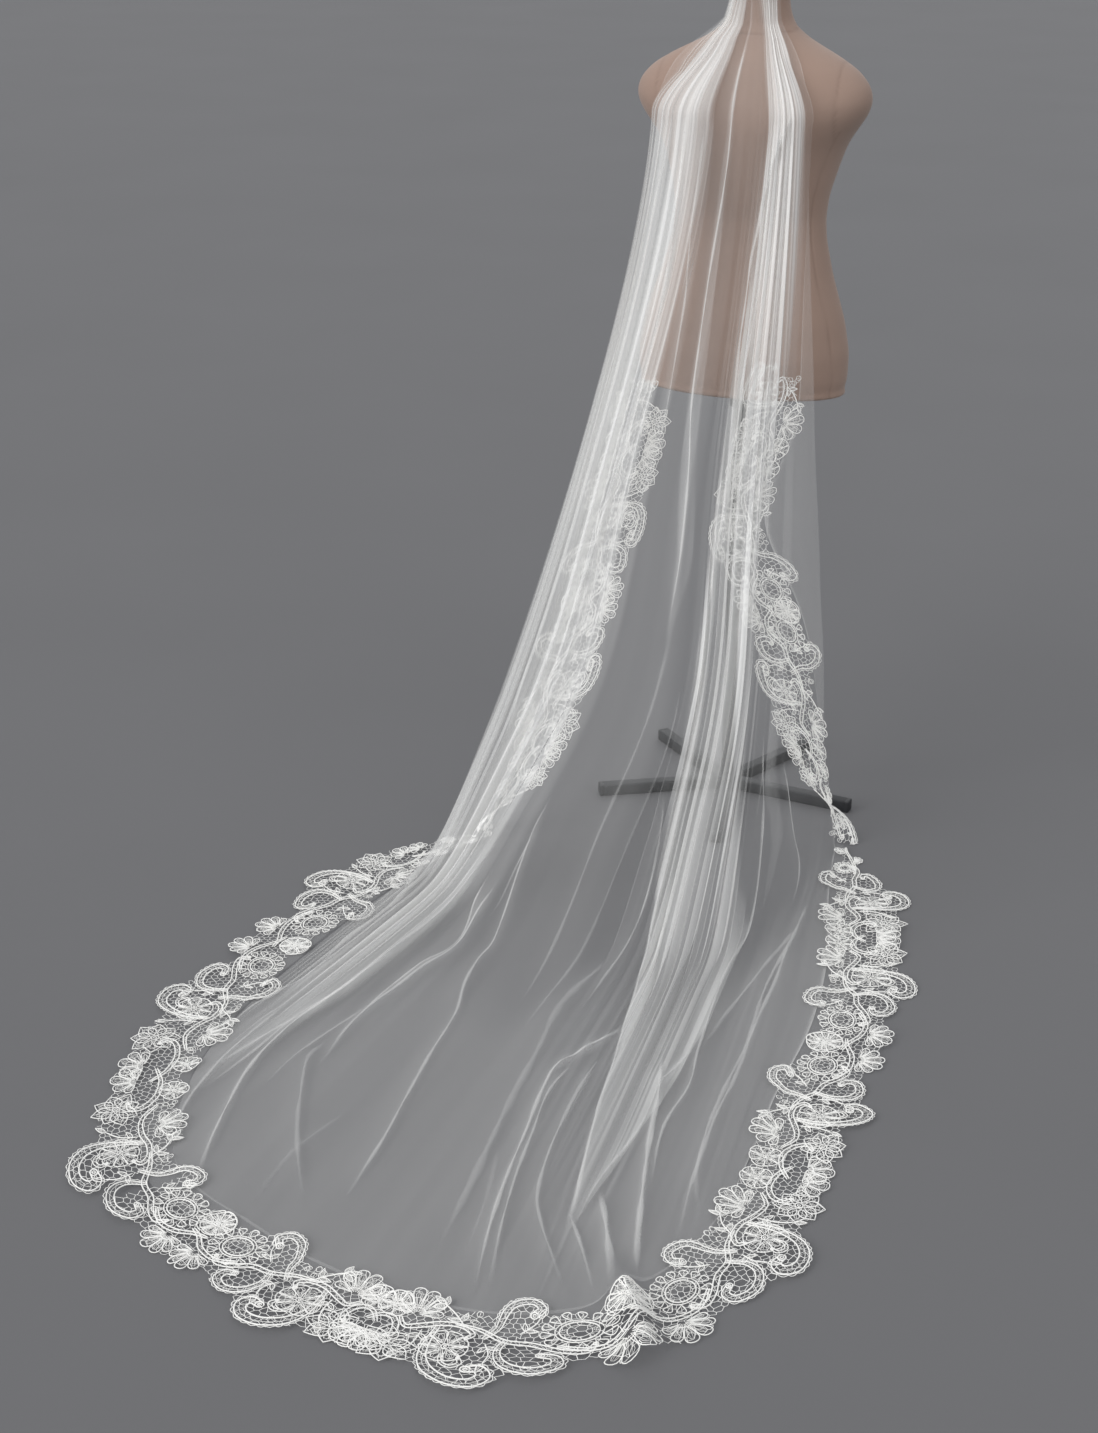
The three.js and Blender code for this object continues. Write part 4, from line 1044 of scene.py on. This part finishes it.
class Cords:
    # flat drawings of the cords, in run and across, kept by how many points each has

    def __init__(self):
        self.lines = {}

    def add(self, points, radius):
        points = np.asarray(points, float)
        self.lines.setdefault((len(points), 5 if radius > 0.8 else 3), []).append((points, radius))

    def tubes(self, mapping, lift):
        # each cord is a ring of points carried along its line on the mapped surface
        points, faces, start = [], [], 0
        for (count, sides), group in self.lines.items():
            turns = np.linspace(0, 2 * np.pi, sides, endpoint=False) + np.pi / 2
            flat = np.stack([line for line, _ in group])
            radius = np.array([r for _, r in group])[:, None, None]
            along = unit(np.gradient(flat, axis=1))
            side = np.stack([-along[..., 1], along[..., 0]], -1)
            centre = mapping(flat[..., 0], flat[..., 1])
            beside = mapping(flat[..., 0] + side[..., 0], flat[..., 1] + side[..., 1])
            ahead = mapping(flat[..., 0] + along[..., 0], flat[..., 1] + along[..., 1])
            right, forward = unit(beside - centre), unit(ahead - centre)
            up = unit(np.cross(forward, right))
            taper = np.ones(count)
            taper[[0, -1]] = 0.4
            size = radius * taper[None, :, None]
            ring = np.stack([centre + right * size * np.cos(a) + up * (size * np.sin(a) * 0.8 + lift)
                             for a in turns], 2)
            index = start + np.arange(len(group) * count * sides).reshape(len(group), count, sides)
            index = np.concatenate([index, index[:, :, :1]], 2)
            quads = np.stack([index[:, :-1, :-1], index[:, :-1, 1:], index[:, 1:, 1:], index[:, 1:, :-1]], -1)
            points.append(ring.reshape(-1, 3))
            faces.append(quads.reshape(-1, 4))
            start += len(group) * count * sides
        return np.concatenate(points), np.concatenate(faces)

    def ground(self, low, high, reach):
        # test for places between cords: the cords' cells grown by the reach, and the growth taken back
        step, margin = 2.0, 50.0
        grid = np.zeros((int((high - low + 2 * margin) / step) + 2, int(300 / step)), bool)
        for group in self.lines.values():
            flat = np.concatenate([line for line, _ in group])
            ends = np.cumsum([len(line) for line, _ in group])[:-1] - 1
            keep = np.ones(len(flat) - 1, bool)
            keep[ends] = False
            for t in (0, 0.25, 0.5, 0.75):
                spots = mix(flat[:-1], flat[1:], t)[keep]
                i = np.clip(((spots[:, 0] - low + margin) / step).astype(int), 0, grid.shape[0] - 1)
                j = np.clip(((spots[:, 1] + 60) / step).astype(int), 0, grid.shape[1] - 1)
                grid[i, j] = True
        cells = int(reach / step)
        steps = range(-cells, cells + 1)
        shifts = [(i, j) for i in steps for j in steps if i * i + j * j <= cells * cells]
        grown = np.any([np.roll(grid, s, (0, 1)) for s in shifts], axis=0)
        taken = np.all([np.roll(grown, s, (0, 1)) for s in shifts], axis=0)

        def inside(run, across):
            i = np.clip(((run - low + margin) / step).astype(int), 0, grid.shape[0] - 1)
            j = np.clip(((across + 60) / step).astype(int), 0, grid.shape[1] - 1)
            return taken[i, j]
        return inside


def ellipse(centre, rx, ry, count, tilt=0.0):
    a = np.linspace(0, 2 * np.pi, count)
    x, y = rx * np.cos(a), ry * np.sin(a)
    c, s = np.cos(tilt), np.sin(tilt)
    return np.stack([centre[0] + x * c - y * s, centre[1] + x * s + y * c], -1)


class Motifs:
    # draws motifs in a repeat's own measures: u along from its lobe, v out from the net's edge on a border
    # 122 wide; the hand mirrors it, and the border's width scales it

    def __init__(self, cords, lobe, before, after, hand, border, own):
        self.cords, self.lobe, self.hand, self.own = cords, lobe, hand, own
        self.widthAt, self.reach = border["widthAt"], border["reach"]
        self.room = (before, after) if hand > 0 else (after, before)

    def laid(self, uv):
        uv = np.asarray(uv, float)
        u, v = uv[..., 0], uv[..., 1]
        room = np.where(u < 0, self.room[0], self.room[1])
        u = np.where(np.abs(u) > 60, np.sign(u) * (60 + (np.abs(u) - 60) * (room - 60) / 120), u)
        run = self.lobe + self.hand * u
        share = self.widthAt(run) / lace["width"]
        scallop = 108 * share + (v - 108) * self.reach * np.minimum(share, 1)
        return np.stack([run, np.where(v > 108, scallop, v * share)], -1)

    def size(self, uv):
        return float(np.clip(self.widthAt(self.laid(uv)[..., 0]) / lace["width"], 0.4, 1))

    def loop(self, root, heading, length, half, veins=2, pointed=False):
        # petal: out along one side and back along the other, half sin(pi s) wide, with a smaller loop and
        # veins
        out = np.array([np.cos(heading) * self.hand, np.sin(heading)])
        aside = np.array([-out[1], out[0]])
        s = np.concatenate([np.linspace(0, 1, 8), np.linspace(1, 0, 8)[1:]])
        sign = np.concatenate([np.ones(8), -np.ones(7)])
        reach = s if pointed else np.sin(np.pi * s / 2) ** 0.9
        wide = np.sin(np.pi * s ** (0.75 if pointed else 1.15))
        outline = root + out * (length * reach)[:, None] + aside * (half * wide * sign)[:, None]
        self.cords.add(outline, lace["cord"])
        innerSide = aside * (half * 0.52 * wide * sign)[:, None]
        inner = root + out * (length * (0.12 + 0.7 * reach))[:, None] + innerSide
        if length > 17:
            self.cords.add(inner[::2], lace["thinCord"])
        for k in range(veins):
            lean = (k - (veins - 1) / 2) * half * 0.5
            self.cords.add(np.array([root + out * length * 0.15, root + out * length * 0.5 + aside * lean,
                                     root + out * length * 0.78 + aside * lean * 0.6]), lace["thinCord"])

    def flower(self, centre, radius, petals, pointed=False):
        size, spot = self.size(centre), self.laid(centre)
        radius = radius * size * self.own.uniform(0.92, 1.08)
        turn = self.own.uniform(0, 2)
        for k in range(petals):
            a = turn + 2 * np.pi * k / petals
            root = spot + np.array([np.cos(a) * self.hand, np.sin(a)]) * radius * 0.17
            length = radius * self.own.uniform(0.74, 0.9)
            self.loop(root, a, length, radius * np.pi / petals * 0.9, 2, pointed)
        self.cords.add(ellipse(spot, radius * 0.15, radius * 0.15, 11), lace["cord"])
        self.cords.add(ellipse(spot, radius * 0.06, radius * 0.06, 7), lace["cord"])

    def fan(self, root, radius, first, last, petals):
        # half flower: petals from one angle to another, the middle ones longest, over a ladder of small
        # rings
        size, spot = self.size(root), self.laid(root)
        for k in range(petals):
            share = k / (petals - 1)
            a = mix(first, last, share)
            length = radius * size * (0.72 + 0.3 * np.sin(np.pi * share))
            foot = spot + 4 * size * np.array([np.cos(a) * self.hand, np.sin(a)])
            self.loop(foot, a, length, length * 1.25 / petals, 2)
        a = np.linspace(first, last, 15)
        arc = np.stack([np.cos(a) * self.hand, np.sin(a)], -1)
        self.cords.add(spot + radius * 0.3 * size * arc, lace["cord"])

    def scroll(self, path, halves, outside=0, cord=1.0, steps=7, bulb=True):
        # winding band: two cords either side of a curve, a zigzag between, small scallops outside and a
        # ring at its end
        curve, run = alongCurve(self.laid(path), steps)
        size = self.size(path[0])
        along = unit(np.gradient(curve, axis=0))
        side = np.stack([-along[:, 1], along[:, 0]], -1) * self.hand
        share = np.linspace(0, 1, len(curve))
        half = np.interp(share, np.linspace(0, 1, len(halves)), halves)[:, None] * size
        self.cords.add(curve + side * half, lace["mainCord"] * cord)
        self.cords.add(curve - side * half, lace["mainCord"] * cord)
        turns = max(4, int(run[-1] / 6))
        k = np.linspace(0, len(curve) - 1, turns)
        i = np.round(k).astype(int)
        zigzag = curve[i] + side[i] * half[i] * np.where(np.arange(turns) % 2, 0.92, -0.92)[:, None]
        self.cords.add(zigzag, lace["thinCord"])
        if half.max() > 5:
            self.cords.add(curve + side * half * 0.12, lace["thinCord"])
        if outside:
            fine = np.linspace(0, len(curve) - 1, max(8, int(run[-1] / 2.2)))
            at = np.stack([np.interp(fine, np.arange(len(curve)), values)
                           for values in (*curve.T, *(side * outside).T, half[:, 0])], -1)
            wave = 1.2 + 2.9 * np.abs(np.sin(np.interp(fine, np.arange(len(curve)), run) * np.pi / 8.5))
            self.cords.add(at[:, :2] + at[:, 2:4] * (at[:, 4] + wave)[:, None], lace["cord"] * 0.85)
        if bulb:
            last = float(half[-1, 0])
            self.cords.add(ellipse(curve[-1], last * 1.05, last * 1.05, 13), lace["mainCord"] * cord)
            self.cords.add(ellipse(curve[-1], last * 0.45, last * 0.45, 9), lace["cord"])

    def sprig(self, path, leaves, length, cord=1.0):
        # stem with pairs of pointed leaves and one at its end
        curve, run = alongCurve(self.laid(path), 6)
        size = self.size(path[0])
        self.cords.add(curve, lace["mainCord"] * cord)
        along = unit(np.gradient(curve, axis=0))
        for k in np.linspace(2, len(curve) - 2, leaves).astype(int):
            angle = np.arctan2(along[k, 1], along[k, 0] * self.hand)
            for lean in (0.9, -0.9):
                self.loop(curve[k], angle + lean, length * size, length * size * 0.2, 1, True)
        angle = np.arctan2(along[-1, 1], along[-1, 0] * self.hand)
        self.loop(curve[-1], angle, length * 1.1 * size, length * size * 0.22, 1, True)

    def medallion(self, centre, rx, ry, tilt, petals=13):
        # oval of three rings with a crown of loops
        size, spot = self.size(centre), self.laid(centre)
        rx, ry, tilt = rx * size, ry * size, tilt * self.hand
        for share, cord in ((0.56, "mainCord"), (0.68, "cord"), (0.36, "thinCord")):
            self.cords.add(ellipse(spot, rx * share, ry * share, 25, tilt), lace[cord])
        for place in ellipse(spot, rx * 0.7, ry * 0.7, petals + 1, tilt)[:-1]:
            off = place - spot
            self.loop(place, np.arctan2(off[1], off[0] * self.hand), rx * 0.4, rx * 0.15, 1)
        for place in ellipse(spot, rx * 0.46, ry * 0.46, 9, tilt)[:-1]:
            self.cords.add(ellipse(place, rx * 0.07, rx * 0.07, 7), lace["thinCord"])

    def rings(self, centre, count, spread, radius):
        spot = self.laid(centre)
        for _ in range(count):
            at = spot + self.own.uniform(-spread, spread, 2)
            self.cords.add(ellipse(at, radius, radius, 9), lace["cord"] * 0.8)


def drawRepeat(motifs):
    # one repeat of the border: hooked lobe, broken stem of scrolls, flowers, half flowers, oval and sprigs
    up = np.pi / 2
    motifs.scroll([(-34, 40), (-38, 70), (-36, 98), (-25, 122), (-5, 137), (17, 138), (29, 125),
                   (24, 112), (11, 113)], [2.2, 3.0, 4.4, 5.8, 6.6, 7.2, 6.8, 6.0, 5.0], 1, 1.1)
    motifs.scroll([(-20, 88), (-17, 103), (-6, 110), (3, 103), (0, 93)],
                  [1.2, 1.8, 2.4, 2.4, 2.0], 0, 0.8, 5)
    motifs.scroll([(46, 50), (38, 78), (46, 102), (68, 114), (88, 106), (90, 90), (78, 84)],
                  [2, 3.2, 4.6, 5.4, 5.4, 4.8, 4.0], 1)
    motifs.scroll([(20, 54), (34, 30), (40, 6), (54, -13), (76, -17), (86, -3), (76, 7)],
                  [1.8, 3, 4.2, 5, 5.2, 5.2, 4.4], -1, 0.95)
    motifs.scroll([(-196, 60), (-170, 44), (-138, 40), (-112, 52), (-104, 70), (-116, 78)],
                  [1.6, 2.6, 3.4, 3.6, 3.2, 2.4], 0, 1, 6)
    motifs.scroll([(-118, 34), (-88, 50), (-58, 46), (-30, 34), (-6, 34), (8, 46), (2, 56)],
                  [1.4, 2.6, 3.6, 3.6, 3.2, 2.8, 2.2], 0, 1, 6)
    motifs.scroll([(-16, 30), (16, 36), (44, 54), (72, 60), (98, 78), (116, 84), (126, 74)],
                  [1.4, 2.6, 3.4, 3.6, 3.4, 3, 2.4], 0, 1, 6)
    motifs.scroll([(94, 66), (122, 82), (152, 80), (176, 66), (196, 60)],
                  [1.4, 2.8, 3.4, 2.8, 1.6], 0, 1, 6, False)
    motifs.flower((-104, 92), 37, 8, True)
    motifs.flower((-18, 74), 30, 8)
    motifs.fan((-76, 26), 41, -up - 1.35, -up + 1.35, 6)
    motifs.fan((-164, 78), 36, up - 1.25, up + 1.25, 5)
    motifs.fan((150, 90), 36, up - 1.3, up + 1.3, 6)
    motifs.medallion((118, 44), 38, 32, 0.25)
    motifs.flower((178, 30), 27, 7)
    motifs.flower((-150, 18), 23, 7)
    motifs.sprig([(-50, 50), (-52, 76), (-62, 98)], 1, 16)
    motifs.sprig([(-6, 30), (-20, 12), (-38, 0)], 2, 18)
    motifs.sprig([(24, 62), (30, 84), (26, 102)], 1, 15)
    motifs.sprig([(60, 38), (76, 22), (82, 12)], 1, 15)
    motifs.rings((6, 14), 4, 11, 4.2)
    motifs.rings((-118, 22), 4, 12, 4.2)


def drawBorder(low, high, border, seed):
    # repeats from lobe to lobe, every second one mirrored, each a little different
    cords = Cords()
    own = np.random.default_rng(seed)
    lobes = border["lobes"]
    for number, lobe in enumerate(lobes):
        before = lobes[number - 1] if number else lobe - 360
        after = lobes[number + 1] if number < len(lobes) - 1 else lobe + 360
        hand = 1 if number % 2 else -1
        drawRepeat(Motifs(cords, lobe, (lobe - before) / 2, (after - lobe) / 2, hand, border, own))
    kept = Cords()
    for group in cords.lines.values():
        for line, radius in group:
            middle = line[:, 0].mean()
            if low <= middle < high and line[:, 0].max() < high + border["over"]:
                kept.add(np.stack([np.clip(line[:, 0], lace["hangingBase"], None), line[:, 1]], -1), radius)
    return kept


def barNet(low, high, inside, seed):
    # uneven six-sided net: bars from each point of one lattice to its three neighbours in the other
    own = np.random.default_rng(seed)
    cell = lace["mesh"]
    side = cell / np.sqrt(3)
    columns, rows = int((high - low + 60) / cell) + 2, int(240 / (1.5 * side))
    i, j = np.meshgrid(np.arange(columns), np.arange(rows), indexing="ij")
    first = np.stack([low - 30 + i * cell + (j % 2) * cell / 2, -40 + j * 1.5 * side], -1)
    second = first + np.array([0, side]) + own.normal(0, cell * 0.13, first.shape)
    first = first + own.normal(0, cell * 0.13, first.shape)
    near, far = np.where(j % 2, i, i - 1), np.where(j % 2, i + 1, i)
    lines = [np.stack([first, second], -2)[1:-1, 1:]]
    for other in (near, far):
        lines.append(np.stack([first[1:-1, 1:], second[other[1:-1, 1:], j[1:-1, 1:] - 1]], -2))
    lines = np.concatenate([part.reshape(-1, 2, 2) for part in lines])
    middle = lines.mean(1)
    keep = (middle[:, 0] >= low) & (middle[:, 0] < high)
    for k in (0, 1):
        keep &= inside(lines[:, k, 0], lines[:, k, 1])
    return lines[keep]


def ribbons(lines, mapping, half, mirrored):
    # flat ribbon for each bar, lying on the mapped surface, its corners turned round where that is mirrored
    along = unit(lines[:, 1] - lines[:, 0])
    side = np.stack([-along[:, 1], along[:, 0]], -1)[:, None] * half
    flat = np.concatenate([lines - side, lines + side], 1)[:, [0, 1, 3, 2]]
    points = mapping(flat[..., 0], flat[..., 1])
    faces = np.arange(len(points) * 4).reshape(-1, 4)
    return points.reshape(-1, 3), faces[:, ::-1] if mirrored else faces


def lacePiece(name, low, high, border, seed, nodes):
    cords = drawBorder(low, high, border, seed)
    tubes, tubeFaces = cords.tubes(border["mapping"], lace["lift"])
    net = barNet(low, high, cords.ground(low, high, lace["groundReach"]), seed + 50)
    bars, barFaces = ribbons(net, border["mapping"], lace["bar"], border["mirrored"])
    points = np.concatenate([tubes, bars])
    points[:, 2] = np.maximum(points[:, 2], 0.3)
    faces = np.concatenate([tubeFaces, barFaces + len(tubes)])
    piece = meshFrom(name, points, faces, laceCord)
    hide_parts(*nodes)
    print(f"{name}: {2 * len(faces)} triangles")
    return piece


# a border's width and place by run, its lobes, how far its scallops reach, how far a motif may pass its
# end, and whether run and across lie on it as in a mirror
floorBorder = {"widthAt": floorWidth, "mapping": onFloorLace, "lobes": [-40] + lace["lobes"] + [3060],
               "reach": 1.0, "over": 60, "mirrored": True}
floorCuts = [0.0, 0.36, 0.56, 1.0]
floorNames = [("border_left", ["lace_left_train", "lace_left_corner"]), ("border_tip", ["lace_tip"]),
              ("border_right", ["lace_right_corner", "lace_right_train"])]
borders = [lacePiece(name, low * seamLength, high * seamLength, floorBorder, 11, nodes)
           for (name, nodes), low, high in zip(floorNames, floorCuts, floorCuts[1:])]


def hangingPiece(side, seed):
    top = lace[side + "Top"]
    border = {"widthAt": lambda run: hangingWidth(run, top), "mapping": hangingLace(side),
              "lobes": [20, 290, 560, 830, 1100], "reach": 0.45, "over": 0, "mirrored": side == "left"}
    return lacePiece(f"border_{side}_hanging", 4, top + 20, border, seed, [f"lace_{side}_fall"])


hangingLeft, hangingRight = hangingPiece("left", 31), hangingPiece("right", 32)
print("lace made")

# camera, floor and light

def makeCamera():
    right, up, ahead = viewAxes()
    turned = Matrix((right, up, -ahead)).transposed()
    data = bpy.data.cameras.new("photo view")
    data.lens, data.sensor_width = view["lens"], view["film"]
    data.sensor_fit, data.clip_end = "AUTO", 200.0
    camera = bpy.data.objects.new("photo view", data)
    camera.matrix_world = Matrix.Translation(view["place"]) @ turned.to_4x4()
    bpy.context.scene.collection.objects.link(camera)
    bpy.context.scene.camera = camera


studio = {"floor": (0.14, 0.14, 0.146, 1), "world": (0.95, 0.97, 1.0, 1), "worldStrength": 0.5}
lights = [  # name, direction it comes from, width of its disc in degrees, strength
    ("key", (-2.0, -2.6, 2.0), 50, 2.0),
    ("fill", (2.4, -2.2, 1.6), 70, 0.8),
    ("back", (-0.4, 2.4, 2.2), 60, 0.6),
]


def makeStudio():
    size, under = 40.0, -0.0006
    corners = [(-size, -size, under), (size, -size, under), (size, size, under), (-size, size, under)]
    mesh = bpy.data.meshes.new("floor")
    mesh.from_pydata(corners, [], [(0, 1, 2, 3)])
    floor = bpy.data.objects.new("floor", mesh)
    bpy.context.scene.collection.objects.link(floor)
    paper = Finish("floor paper", Roughness=0.85)
    tone = paper.noise(1.3, 2.0, 0.5)
    paper.set("Base Color", paper.blend(tone, studio["floor"], (0.128, 0.128, 0.133, 1)))
    mesh.materials.append(paper.material)
    world = bpy.data.worlds.new("studio")
    world.use_nodes = True
    background = world.node_tree.nodes["Background"]
    background.inputs["Color"].default_value = studio["world"]
    background.inputs["Strength"].default_value = studio["worldStrength"]
    bpy.context.scene.world = world
    for name, spot, width, strength in lights:
        data = bpy.data.lights.new(name, "SUN")
        data.angle, data.energy = np.radians(width), strength
        lamp = bpy.data.objects.new(name, data)
        lamp.matrix_world = Vector(spot).to_track_quat("Z", "Y").to_matrix().to_4x4()
        bpy.context.scene.collection.objects.link(lamp)


makeCamera()
makeStudio()
bpy.context.scene.cycles.transparent_max_bounces = 64
bpy.context.scene.view_settings.view_transform = "Standard"
print("camera and studio made")
